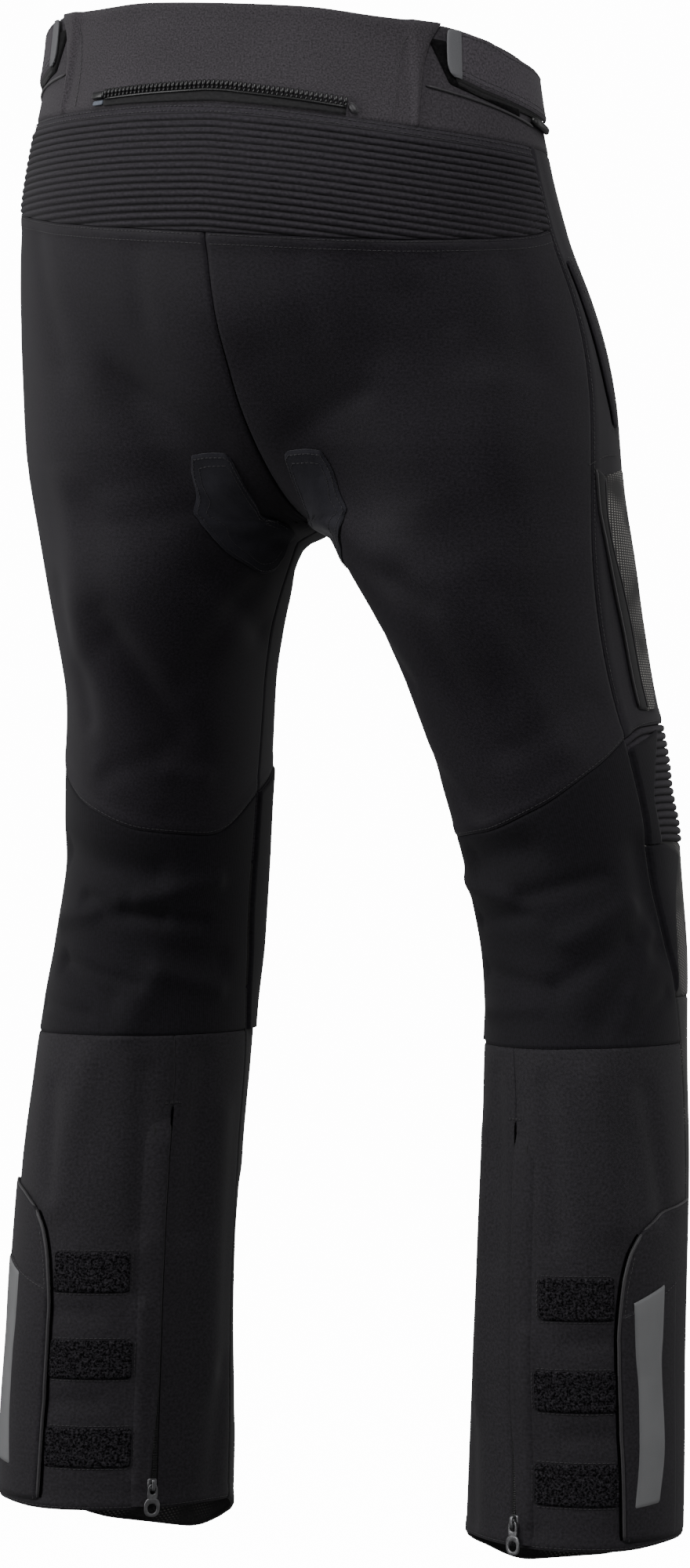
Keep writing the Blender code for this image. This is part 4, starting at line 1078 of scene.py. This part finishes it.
# how far each lower layer hangs out under the strap, and how far it lies off the band
LAYERS = ((0.0026, 0.0026), (0.0050, 0.0018))
LAYER_TOP = [(0.316, 0.0180), (0.365, 0.0125), (0.530, 0.0035)]
END_INNER = [(0.3260, 0.0392), (0.3210, 0.0072)]
BUCKLE_BAR = [(0.463, -0.0102), (0.505, -0.0128), (0.548, -0.0150)]
STRAP_TOP = [(0.325, 0.0390), (0.377, 0.0355), (0.420, 0.0298), (0.552, 0.0225)]
STRAP_BOTTOM = [(0.320, 0.0075), (0.365, 0.0020), (0.487, -0.0060), (0.552, -0.0085)]
LOOP_BOTTOM = [(0.302, 0.0040), (0.360, -0.0030), (0.440, -0.0100)]
END_OUTER = [(0.308, 0.0400), (0.3025, 0.0382), (0.300, 0.0320), (0.2985, 0.0170),
             (0.302, 0.0108), (0.308, 0.0083)]
for leg, side in SIDES:
    panel = cut_patch(leg, [(0.272, 0.0330), (0.440, 0.0270)], [(0.440, 0.0270), LOOP_BOTTOM[-1]],
                      LOOP_BOTTOM, [(0.272, 0.0330), LOOP_BOTTOM[0]])
    add_cloth(f"waist_loop_{side}_cloth", panel, PATCH_CLOTH, loop_dark, f"waist_loop_{side}",
              LOOP_RISE)
    panel = cut_patch(leg, STRAP_TOP, [STRAP_TOP[-1], STRAP_BOTTOM[-1]], STRAP_BOTTOM,
                      [STRAP_TOP[0], STRAP_BOTTOM[0]])
    add_cloth(f"waist_strap_{side}_cloth", panel, STRAP_CLOTH, strap_cloth, f"waist_strap_{side}",
              STRAP_RISE)
    for number, (drop, rise) in enumerate(LAYERS):
        bottom = [(0.312, 0.0084 - drop), (0.365, 0.0020 - drop), (0.530, -0.0078 - drop / 2)]
        panel = cut_patch(leg, LAYER_TOP, [LAYER_TOP[-1], bottom[-1]], bottom,
                          [LAYER_TOP[0], bottom[0]])
        add_cloth(f"strap_layer_{side}_{number + 1}", panel, LAYER_CLOTH, facing_cloth, None,
                  rise)
    panel = cut_patch(leg, [END_OUTER[0], END_INNER[0]], END_INNER, [END_OUTER[-1], END_INNER[-1]],
                      END_OUTER, step=0.0010)
    down, across = (np.linspace(0, 1, count) for count in panel["relief"].shape)
    inside = np.minimum(np.minimum(down, 1 - down)[:, None] * 0.031,
                        np.minimum(across, 1 - across)[None] * 0.011)
    panel["relief"] = panel["relief"] - END_RIM * ease(0.0014, 0.0024, inside)
    add_cloth(f"strap_end_{side}_moulded", panel, STRAP_END_CLOTH, moulded, f"strap_end_{side}",
              STRAP_END_RISE)
    bar = bead(on_leg(leg, BUCKLE_BAR), 0.0029, 0.0026, 0.8, sides=12)
    piece = make_mesh(f"strap_buckle_{side}_bar", [bar], gloss_black)
    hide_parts(f"strap_buckle_{side}")
    rows = [np.array(STRAP_TOP) - (0, 0.0028), np.array(STRAP_BOTTOM) + (0, 0.0026),
            np.array(STRAP_BOTTOM) + (0, 0.0058)]
    sew(f"waist_strap_{side}_stitching", [on_leg(leg, row) for row in rows],
        STRAP_RISE + 0.0001)
    piping = on_leg(leg, [(0.262, 0.0012), (0.330, -0.0035), (0.480, -0.0145)])
    make_mesh(f"waist_piping_{side}", [bead(piping, 0.0009, 0.0006)], thread_black)

# Knee-back panels
# Two panels of soft stretch cloth behind the knees, finely ribbed, which crease as the knee bends.
knee_cloth = woven("knee_cloth", (0.0019, 0.0016, 0.0025), (0.0066, 0.0058, 0.0080), 0.78, 0.0011,
                   0.00014, 0.3, ribbed=0.0016)
for leg, side in SIDES:
    first, last = sorted((0.0, leg * SIDE_SEAM))
    panel = cut_panel(leg, first, last, seam("thigh_end"), seam("knee_end"), step=0.0027)
    add_cloth(f"knee_back_{side}_cloth", panel, CLOTH, knee_cloth, f"knee_back_{side}")

# Accordion panels
# Stretch cloth over the front of each knee, sewn in ribs as the yoke is, so that it opens when
# the leg bends.
ACCORDION_RIBS = 15
ACCORDION_RISE = 0.0024
ACCORDION_PITCH = 0.0052
for leg, side in SIDES:
    first, last = sorted((leg * SIDE_SEAM, leg * 1.0))
    shares = np.linspace(0, 1, ACCORDION_RIBS * RIB_STEPS + 1)
    panel = cut_panel(leg, first, last, seam("thigh_end"), seam("accordion_end"), step=0.0045,
                      shares=shares)
    ribs = np.zeros(panel["height"].shape)
    ribs[:len(shares)] = rib_rise(shares[:, None] * ACCORDION_RIBS, 1.0, ACCORDION_RISE)
    ribs = ribs * ease(SIDE_SEAM, 0.4750, panel["around"]) * ease(1.0, 0.970, panel["around"])
    panel["relief"] = panel["relief"] + np.where(panel["relief"] < UNDER, 0.0, ribs)
    # painted shade: darkens the colour in the middle of each groove between the ribs
    groove_shades = np.zeros(ribs.shape)
    run = shares[:, None] * ACCORDION_RIBS * ACCORDION_PITCH
    groove_shades[:len(shares)] = groove_shade_mask(run, ACCORDION_PITCH)
    panel["groove_shade"] = groove_shades
    add_cloth(f"knee_accordion_{side}_cloth", panel, CLOTH, stretch_cloth,
              f"knee_accordion_{side}")

# Knee shields
# A tough outer layer over the knee protector, printed with small grey dots that fade out.
SHIELD_CLOTH = 0.0030
SHIELD_GREY = (0.150, 0.144, 0.136)
shield_print = printed(0.0042, 0.48, 0.55, 0.030, 0.44, 0.58, 1.7, SHIELD_GREY)
shield_cloth = woven("shield_cloth", (0.0060, 0.0056, 0.0056), (0.0150, 0.0142, 0.0140), 0.6,
                     0.0008, 0.00010, 0.3, print_on=shield_print)
for leg, side in SIDES:
    first, last = sorted((leg * SIDE_SEAM, leg * 1.0))
    panel = cut_panel(leg, first, last, seam("accordion_end"), seam("shield_end"), step=0.0036)
    add_cloth(f"knee_shield_{side}_cloth", panel, SHIELD_CLOTH, shield_cloth,
              f"knee_shield_{side}")

# Knee-back laps
# The knee-back cloth curves forward over the back corners of the accordion and the shield, and
# wraps the inner side of the knee, where the shield does not reach.
# how high the laps lie once they are past the seam, and how deep they start
LAP_RISE = 0.0030
LAP_START = 0.0006
LAP_INNER_END = 0.999
# name, top, front, bottom and back edge, each as places around and heights
LAPS = (
    ("upper", [(0.4583, -0.4405), (0.5333, -0.4265)],
     [(0.5333, -0.4265), (0.5033, -0.4530), (0.4850, -0.4780), (0.4880, -0.5040)],
     [(0.4583, -0.5050), (0.4880, -0.5040)], [(0.4583, -0.4405), (0.4583, -0.5050)]),
    ("lower", [(0.4583, -0.5055), (0.4885, -0.5045), (0.5400, -0.5120)],
     [(0.5400, -0.5120), (0.5000, -0.5500), (0.4600, -0.6075)],
     [(0.4583, -0.6078), (0.4600, -0.6075)], [(0.4583, -0.5055), (0.4583, -0.6078)]),
    ("inner", [(0.9100, -0.4510), (0.9990, -0.4703)], [(0.9990, -0.4703), (0.9990, -0.6405)],
     [(0.9300, -0.6400), (0.9990, -0.6405)], [(0.9100, -0.4510), (0.9300, -0.6400)]),
)
for leg, side in SIDES:
    for name, top, front, bottom, back in LAPS:
        panel = cut_patch(leg, top, front, bottom, back, edges=("open", "turned", "turned", "open"))
        if name == "inner":
            from_seam = (LAP_INNER_END - panel["around"]) * SPAN
        else:
            from_seam = (panel["around"] - SIDE_SEAM) * SPAN
        panel["relief"] = panel["relief"] + LAP_RISE * ease(0.0, LAP_RISE, from_seam) - LAP_START
        add_cloth(f"knee_lap_{name}_{side}_cloth", panel, PATCH_CLOTH, knee_cloth, None)

# Calf panels
# Coarser charcoal cloth below the knee: an inner panel and a back panel with a zip between them,
# and a shin panel in front.
ZIP_AROUND = 0.145
ZIP_TOP = -0.6880
calf_cloth = woven("calf_cloth", (0.0050, 0.0045, 0.0056), (0.0165, 0.0150, 0.0180), 0.70, 0.0010,
                   0.00018, 0.4)
SHIN_GREY = (0.120, 0.115, 0.110)
shin_print = printed(0.0040, 0.40, 0.45, 0.040, 0.48, 0.62, 4.1, SHIN_GREY)
shin_cloth = woven("shin_cloth", (0.0070, 0.0068, 0.0072), (0.0200, 0.0195, 0.0205), 0.66, 0.0009,
                   0.00012, 0.3, print_on=shin_print)
for leg, side in SIDES:
    for part, ends, top in (("calf_inner", (0.0, ZIP_AROUND), "knee_end"),
                            ("calf_back", (ZIP_AROUND, SIDE_SEAM), "knee_end"),
                            ("shin", (SIDE_SEAM, 1.0), "shield_end")):
        first, last = sorted(leg * end for end in ends)
        panel = cut_panel(leg, first, last, seam(top), hem, step=0.0036,
                          edges=("turned", "turned", "turned", "stitched"))
        finish = shin_cloth if part == "shin" else calf_cloth
        add_cloth(f"{part}_{side}_cloth", panel, CLOTH, finish, f"{part}_{side}")
BAR_TACK = 0.013
rows = []
for leg in (1, -1):
    rows += [beside("hem", leg * 0.006, leg * 0.994, NEAR_STITCH + 0.0004),
             on_leg(leg, [(0.4150, -0.7900), (0.4130, -0.9000), (0.4120, -0.9640)])]
    for level in (ZIP_TOP, ZIP_TOP - 0.0007):
        rows.append(on_leg(leg, [(ZIP_AROUND - BAR_TACK, level), (ZIP_AROUND + BAR_TACK, level)]))
sew("calf_stitching", rows)

# Calf zips
# A coil zip from below the knee to the hem, half hidden by the fold of cloth along its outer
# side. The fold opens in a narrow V towards the slider.
COIL_AROUND = ZIP_AROUND + 0.0044
SLIDER_HEIGHT = -0.953
ZIP_TAPE_CLOTH = 0.0012
ZIP_LIFT = 0.0004
ZIP_FOOT = -0.9660
TAPE_RISE = 0.0012
TAPE_PLACES = (0.1456, 0.1700)
COIL_PITCH = 0.00115
COIL_RISE = 0.0016
FOLD_CLOTH = 0.0009
FOLD_SWELL = 0.0048
FOLD_EDGE = [(0.1475, ZIP_TOP), (0.1475, -0.8300), (0.1480, -0.8800), (0.1535, -0.9300),
             (0.1580, -0.9680)]
FOLD_OUTER = [(0.1860, ZIP_TOP), (0.1850, -0.8600), (0.1840, -0.9680)]
PLATE = 0.0014
TAB = 0.0012
zip_metal, shader, strand = start_finish("zip_metal", {"Metallic": 0.9, "Roughness": 0.38})
place = strand.on_object()
worn = place.grain(0.0025, 3.0)
worn.mix((0.055, 0.055, 0.058), (0.16, 0.16, 0.165)).feed(shader, "Base Color")
(worn * 0.22 + 0.27).feed(shader, "Roughness")
worn.bump(0.00003, 0.4).feed(shader, "Normal")


def flat_ring(outer, inner, thickness, steps=4):
    """A flat plate with a hole: its section, a rounded rectangle between the two outlines, is
    carried round. The outlines are closed lists of as many points, turning left."""
    outer, inner = np.array(outer), np.array(inner)
    turn = 2 * math.pi * (np.arange(4 * steps) + 0.5) / (4 * steps)
    side = np.sign(np.cos(turn)) * np.abs(np.cos(turn)) ** 0.5
    level = np.sign(np.sin(turn)) * np.abs(np.sin(turn)) ** 0.5 * thickness / 2
    middle, half = (outer + inner) / 2, (outer - inner) / 2
    flat = middle[:, None] + side[None, :, None] * half[:, None]
    points = np.concatenate([flat, np.broadcast_to(level[None, :, None], (*flat.shape[:2], 1))], -1)
    number = np.arange(points.shape[0] * points.shape[1]).reshape(points.shape[:2])
    along, round_it = np.roll(number, -1, axis=0), np.roll(number, -1, axis=1)
    both = np.roll(along, -1, axis=1)
    quads = np.stack([number, along, both, round_it], -1).reshape(-1, 4)
    return points.reshape(-1, 3), [quads]


def oval(middle_y, half_width, half_length, power, count=32):
    """A closed outline: an ellipse with its cosine and sine to a power."""
    turn = 2 * math.pi * (np.arange(count) + 0.5) / count
    x = half_width * np.sign(np.cos(turn)) * np.abs(np.cos(turn)) ** power
    y = half_length * np.sign(np.sin(turn)) * np.abs(np.sin(turn)) ** power
    return np.stack([x, middle_y + y], -1)


def widened(outline, slope):
    """An outline that grows wider towards its lower end."""
    return outline * np.stack([1 - slope * outline[:, 1], np.ones(len(outline))], -1)


coil_turn = round_bar(0.0034, 0.00075, 0.0010, 6, 1.0, 0.5)
for leg, side in SIDES:
    near, far = TAPE_PLACES
    panel = cut_patch(leg, [(near, ZIP_TOP), (far, ZIP_TOP)], [(far, ZIP_TOP), (far, ZIP_FOOT)],
                      [(near, ZIP_FOOT), (far, ZIP_FOOT)], [(near, ZIP_TOP), (near, ZIP_FOOT)],
                      edges=("open",) * 4)
    sunk = 1 - ease(ZIP_TOP - 0.006, ZIP_TOP - 0.022, panel["height"])
    panel["relief"] = panel["relief"] - 0.0030 * sunk
    add_cloth(f"calf_zip_{side}_tape", panel, ZIP_TAPE_CLOTH, tape_cloth, f"calf_zip_{side}",
              TAPE_RISE)
    line = on_leg(leg, [(COIL_AROUND, ZIP_TOP - 0.026), (COIL_AROUND, -0.962)])
    middle, along, across, out = line_on(line, COIL_PITCH, COIL_RISE)
    parts = [at_places(coil_turn, (middle, across, -along, out))]
    make_mesh(f"calf_zip_{side}_coil", parts, gloss_black)
    panel = cut_patch(leg, [FOLD_EDGE[0], FOLD_OUTER[0]], FOLD_OUTER,
                      [FOLD_EDGE[-1], FOLD_OUTER[-1]], FOLD_EDGE, step=0.0020, edges=("open",) * 4)
    share = np.linspace(0, 1, panel["relief"].shape[1])[None]
    share = share if leg > 0 else 1 - share
    swell = FOLD_SWELL * (0.5 + 0.5 * np.cos(math.pi * share ** 1.4))
    swell = swell - 0.0008 * np.exp(-(share / 0.06) ** 2)
    panel["relief"] = swell * ease(ZIP_TOP, ZIP_TOP - 0.030, panel["height"]) - 0.0014
    add_cloth(f"calf_zip_{side}_fold", panel, FOLD_CLOTH, calf_cloth, None)
    # painted shade: a near-black bead in the gap between the fold of cloth and the zip tape
    slit_shade = on_leg(leg, [(0.1452, ZIP_TOP - 0.001), (0.1452, ZIP_FOOT)])
    make_mesh(f"calf_zip_{side}_slit", [bead(slit_shade, 0.0010, -0.0002, 0.6)], painted_shade_black)
    slider_lift = 2 * ZIP_LIFT + ZIP_TAPE_CLOTH + SEAM_GAP
    slider_around = ZIP_AROUND + 0.0080 / 2 / SPAN
    line = on_leg(leg, [(slider_around, SLIDER_HEIGHT + 0.0005),
                        (slider_around, SLIDER_HEIGHT - 0.0005)])
    middle, down, right, out = line_on(line, 0.1, slider_lift)
    axes = (middle, -right, -down, out)
    plate = round_bar(0.0086, 0.0072, PLATE, 16, 0.6, 0.75)
    plate = (plate[0][:, [1, 0, 2]] * (-1, 1, 1) + (0, 0, PLATE / 2), plate[1])
    arch = flat_ring(oval(0.0024, 0.0042, 0.0024, 0.6), oval(0.0024, 0.0022, 0.0012, 0.7), 0.0026)
    arch = (arch[0][:, [2, 0, 1]], arch[1])
    parts = [at_places(plate, axes), at_places(arch, axes)]
    piece = make_mesh(f"zip_slider_{side}_body", parts, zip_metal)
    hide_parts(f"zip_slider_{side}")
    upper = flat_ring(widened(oval(-0.0052, 0.0036, 0.0058, 0.6), 12.0),
                      widened(oval(-0.0034, 0.0020, 0.0030, 0.7), 12.0), TAB)
    lower = flat_ring(oval(-0.0154, 0.0058, 0.0066, 0.75), oval(-0.0162, 0.0034, 0.0034, 0.9),
                      TAB + 0.0001)
    parts = []
    for points, faces in (upper, lower):
        parts.append(at_places((points + (0, 0, PLATE + TAB), faces), axes))
    piece = make_mesh(f"zip_pull_{side}_tab", parts, zip_metal, f"pull_{side}")
    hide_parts(f"zip_pull_{side}")

# Loop patches
# Three dense black loop patches on each calf, which the storm flap's hook tape grips, each sewn
# on round its border.
PILE_RISE = 0.0016
PILE_HEIGHT = 0.0006
# how far the inner corners are cut back
PATCH_CORNER = 0.0045
# inner and outer place around, then top and bottom
LOOP_PATCHES = ((0.192, 0.303, -0.7910, -0.8190), (0.185, 0.304, -0.8520, -0.8790),
                (0.182, 0.304, -0.9130, -0.9405))
loop_pile, shader, strand = start_finish("loop_pile", {
    "Roughness": 0.95, "Specular IOR Level": 0.04})
place = strand.on_weave()
curls = place.grain(0.0016, 3.0, 0.7)
knots = place.grain(0.0032, 2.0, 0.5)
tuft = (curls * 1.8 + knots * 0.8 - 0.95).ramp(0.15, 0.85)
tuft.mix((0.0005, 0.0005, 0.0007), (0.0290, 0.0272, 0.0310)).feed(shader, "Base Color")
(curls + knots * 0.5).bump(0.0011, 0.9).feed(shader, "Normal")
patch_rng = np.random.default_rng(7)
for leg, side in SIDES:
    rows = []
    for number, (near, far, top, bottom) in enumerate(LOOP_PATCHES):
        inner = near + PATCH_CORNER
        panel = cut_patch(leg, [(inner, top), (far, top)], [(far, top), (far, bottom)],
                          [(inner, bottom), (far, bottom)],
                          [(inner, top), (near, top - 0.0022), (near, bottom + 0.0022),
                           (inner, bottom)], step=0.0011)
        heap = patch_rng.random(panel["relief"].shape)
        down = np.linspace(0, 1, heap.shape[0])[:, None]
        border = ease(0.02, 0.10, np.minimum(down, 1 - down))
        panel["relief"] = panel["relief"] + PILE_HEIGHT * heap * border
        add_cloth(f"loop_patch_{side}_{number + 1}_pile", panel, PATCH_CLOTH, loop_pile,
                  f"loop_patch_{side}_{number + 1}",
                  PILE_RISE)
        inner, outer = near - 0.0035, far - 0.004
        rows += [on_leg(leg, [(outer, top + 0.0012), (inner + 0.006, top + 0.0012)]),
                 on_leg(leg, [(inner, top - 0.0015), (inner, bottom + 0.0015)]),
                 on_leg(leg, [(outer, bottom - 0.0012), (inner + 0.006, bottom - 0.0012)])]
    sew(f"loop_patch_{side}_stitching", rows, 0.0003)

# Storm flaps
# A double flap of the calf's cloth over the outer side of each calf, its free edge piped, with a
# second layer from a slanted edge down and a strip of silver reflective tape.
reflective, shader, strand = start_finish("reflective", {
    "Roughness": 0.5, "Specular IOR Level": 0.4, "Metallic": 0.0})
place = strand.on_weave()
beads_fine = place.grain(0.0006, 2.0)
soft_tone = place.grain(0.030, 2.0)
(beads_fine * 0.5 + soft_tone * 0.6).ramp(0.2, 0.9).mix(
    (0.062, 0.063, 0.065), (0.105, 0.106, 0.110)).feed(shader, "Base Color")
beads_fine.bump(0.00005, 0.5).feed(shader, "Normal")
LAYER_FLAP_CLOTH = 0.0008
FLAP_RISE = 0.0026
FLAP_LAYER_RISE = 0.0034
STRIP_RISE = 0.0041
LEFT_STRIP_SHIFT = 0.045
FLAP_TOP = [(0.3450, -0.7620), (0.3900, -0.7510), (0.4550, -0.7450)]
FLAP_EDGE = [(0.3450, -0.7620), (0.3260, -0.7780), (0.3150, -0.8000), (0.3095, -0.8300),
             (0.3090, -0.8900), (0.3120, -0.9640)]
FLAP_BACK = [(0.4550, -0.7450), (0.4550, -0.9640)]
LAYER_SLANT = [(0.3120, -0.8160), (0.3600, -0.8080), (0.4150, -0.7960)]
LAYER_EDGE = [(0.3120, -0.8160), (0.3115, -0.8900), (0.3150, -0.9630)]
LAYER_BACK = [(0.4150, -0.7960), (0.4130, -0.9630)]
STRIP_INNER = [(0.3310, -0.8080), (0.3330, -0.8400), (0.3365, -0.8650), (0.3350, -0.9000),
               (0.3270, -0.9420)]
STRIP_OUTER = [(0.3850, -0.7980), (0.3820, -0.8300), (0.3790, -0.8480), (0.3820, -0.9000),
               (0.3700, -0.9400)]
for leg, side in SIDES:
    panel = cut_patch(leg, FLAP_TOP, FLAP_BACK, [FLAP_EDGE[-1], FLAP_BACK[-1]], FLAP_EDGE)
    add_cloth(f"storm_flap_{side}_cloth", panel, FLAP_CLOTH, calf_cloth, f"storm_flap_{side}",
              FLAP_RISE)
    panel = cut_patch(leg, LAYER_SLANT, LAYER_BACK, [LAYER_EDGE[-1], LAYER_BACK[-1]], LAYER_EDGE)
    add_cloth(f"storm_flap_{side}_layer", panel, LAYER_FLAP_CLOTH, calf_cloth, None,
              FLAP_LAYER_RISE)
    shift = (LEFT_STRIP_SHIFT if leg == 1 else 0.0, 0)
    inner, outer = np.array(STRIP_INNER) + shift, np.array(STRIP_OUTER) + shift
    panel = cut_patch(leg, [inner[0], outer[0]], outer, [inner[-1], outer[-1]], inner)
    panel["relief"] = panel["relief"] * 0.5
    add_cloth(f"reflective_strip_{side}_tape", panel, LAYER_FLAP_CLOTH, reflective,
              f"reflective_strip_{side}",
              STRIP_RISE)
    edge = on_leg(leg, FLAP_EDGE)
    top = on_leg(leg, [*FLAP_TOP[:2], (0.4560, -0.7450)])
    make_mesh(f"storm_flap_{side}_piping", [bead(edge, 0.0012, 0.0018), bead(top, 0.0009, 0.0016)],
              thread_black)
    # painted shadow: a near-black bead beside the flap's free edge, where the flap's shadow falls
    # on the calf
    under = on_leg(leg, FLAP_EDGE) - (leg * 0.0034, 0)
    make_mesh(f"storm_flap_{side}_under", [bead(under, 0.0013, 0.0004, 0.5)], painted_shade_black)
    inner = on_leg(leg, FLAP_EDGE[1:]) + (leg * 0.0065, 0)
    sew(f"storm_flap_{side}_stitching", [inner], FLAP_RISE + 0.0001)
    slanted = on_leg(leg, [(0.3160, -0.8175), (0.3600, -0.8098), (0.4120, -0.7980)])
    sew(f"storm_flap_{side}_layer_stitching", [slanted], FLAP_LAYER_RISE + 0.0001)

# Studio
# A pale floor that curves up into a pale wall, well below the hems as the wearer holds the
# garment up, with large soft lamps.
FLOOR_HEIGHT = -1.25
WALL_DISTANCE = 10.0
SWEEP_RADIUS = 1.5
WALL_HEIGHT = 7.0
FLOOR_REACH = 10.0
sweep = np.linspace(0, math.pi / 2, 24)
curve_y = WALL_DISTANCE + SWEEP_RADIUS * (np.sin(sweep) - 1)
profile_y = np.concatenate([[-FLOOR_REACH], curve_y, [WALL_DISTANCE]])
profile_z = np.concatenate([[0.0], SWEEP_RADIUS * (1 - np.cos(sweep)), [WALL_HEIGHT]])
wide = np.array([-FLOOR_REACH, FLOOR_REACH])
away = -np.array(backward)[:2]
along = np.array(sideways)[:2]
points = np.array([[*(y * away + x * along), FLOOR_HEIGHT + z] for y, z in zip(profile_y, profile_z)
                   for x in wide])
number = np.arange(len(points)).reshape(-1, 2)
faces = np.stack([number[:-1, 0], number[:-1, 1], number[1:, 1], number[1:, 0]], -1)
mesh = bpy.data.meshes.new("floor")
mesh.from_pydata(points, [], faces)
mesh.polygons.foreach_set("use_smooth", np.ones(len(faces), bool))
floor = bpy.data.objects.new("floor", mesh)
bpy.context.collection.objects.link(floor)
pale, shader, strand = start_finish("pale_floor", {
    "Base Color": (0.9, 0.9, 0.9, 1), "Roughness": 0.9, "Specular IOR Level": 0.0,
    "Emission Color": (1, 1, 1, 1), "Emission Strength": 14.0})
mesh.materials.append(pale)
floor.visible_diffuse = False
floor.visible_glossy = False
floor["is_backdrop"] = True
world = bpy.data.worlds.new("studio")
world.use_nodes = True
world.node_tree.nodes["Background"].inputs["Color"].default_value = (1, 1, 1, 1)
world.node_tree.nodes["Background"].inputs["Strength"].default_value = 0.24
bpy.context.scene.world = world
# name, angle round the garment from the camera, height, distance, width, power
LAMPS = (
    ("lamp_left", -68, 0.7, 2.3, 1.2, 72),
    ("lamp_right", 66, 0.4, 2.4, 1.0, 17),
    ("lamp_rim_left", -120, 0.3, 2.2, 0.7, 9),
    ("lamp_rim_right", 112, 0.3, 2.2, 0.5, 5),
    ("lamp_top", 8, 2.1, 2.0, 1.4, 78),
)
for name, angle, high, distance, width, power in LAMPS:
    lamp = bpy.data.lights.new(name, "AREA")
    lamp.energy = power
    lamp.shape = "RECTANGLE"
    lamp.size = width
    lamp.size_y = 2.2
    item = bpy.data.objects.new(name, lamp)
    turn = CAMERA_TURN + math.radians(angle)
    item.location = (math.sin(turn) * distance, -math.cos(turn) * distance, AIM_HEIGHT + high)
    item.rotation_mode = "QUATERNION"
    aim = Vector((0, 0, AIM_HEIGHT)) - item.location
    item.rotation_quaternion = aim.to_track_quat("-Z", "Y")
    bpy.context.collection.objects.link(item)

low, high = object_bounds()
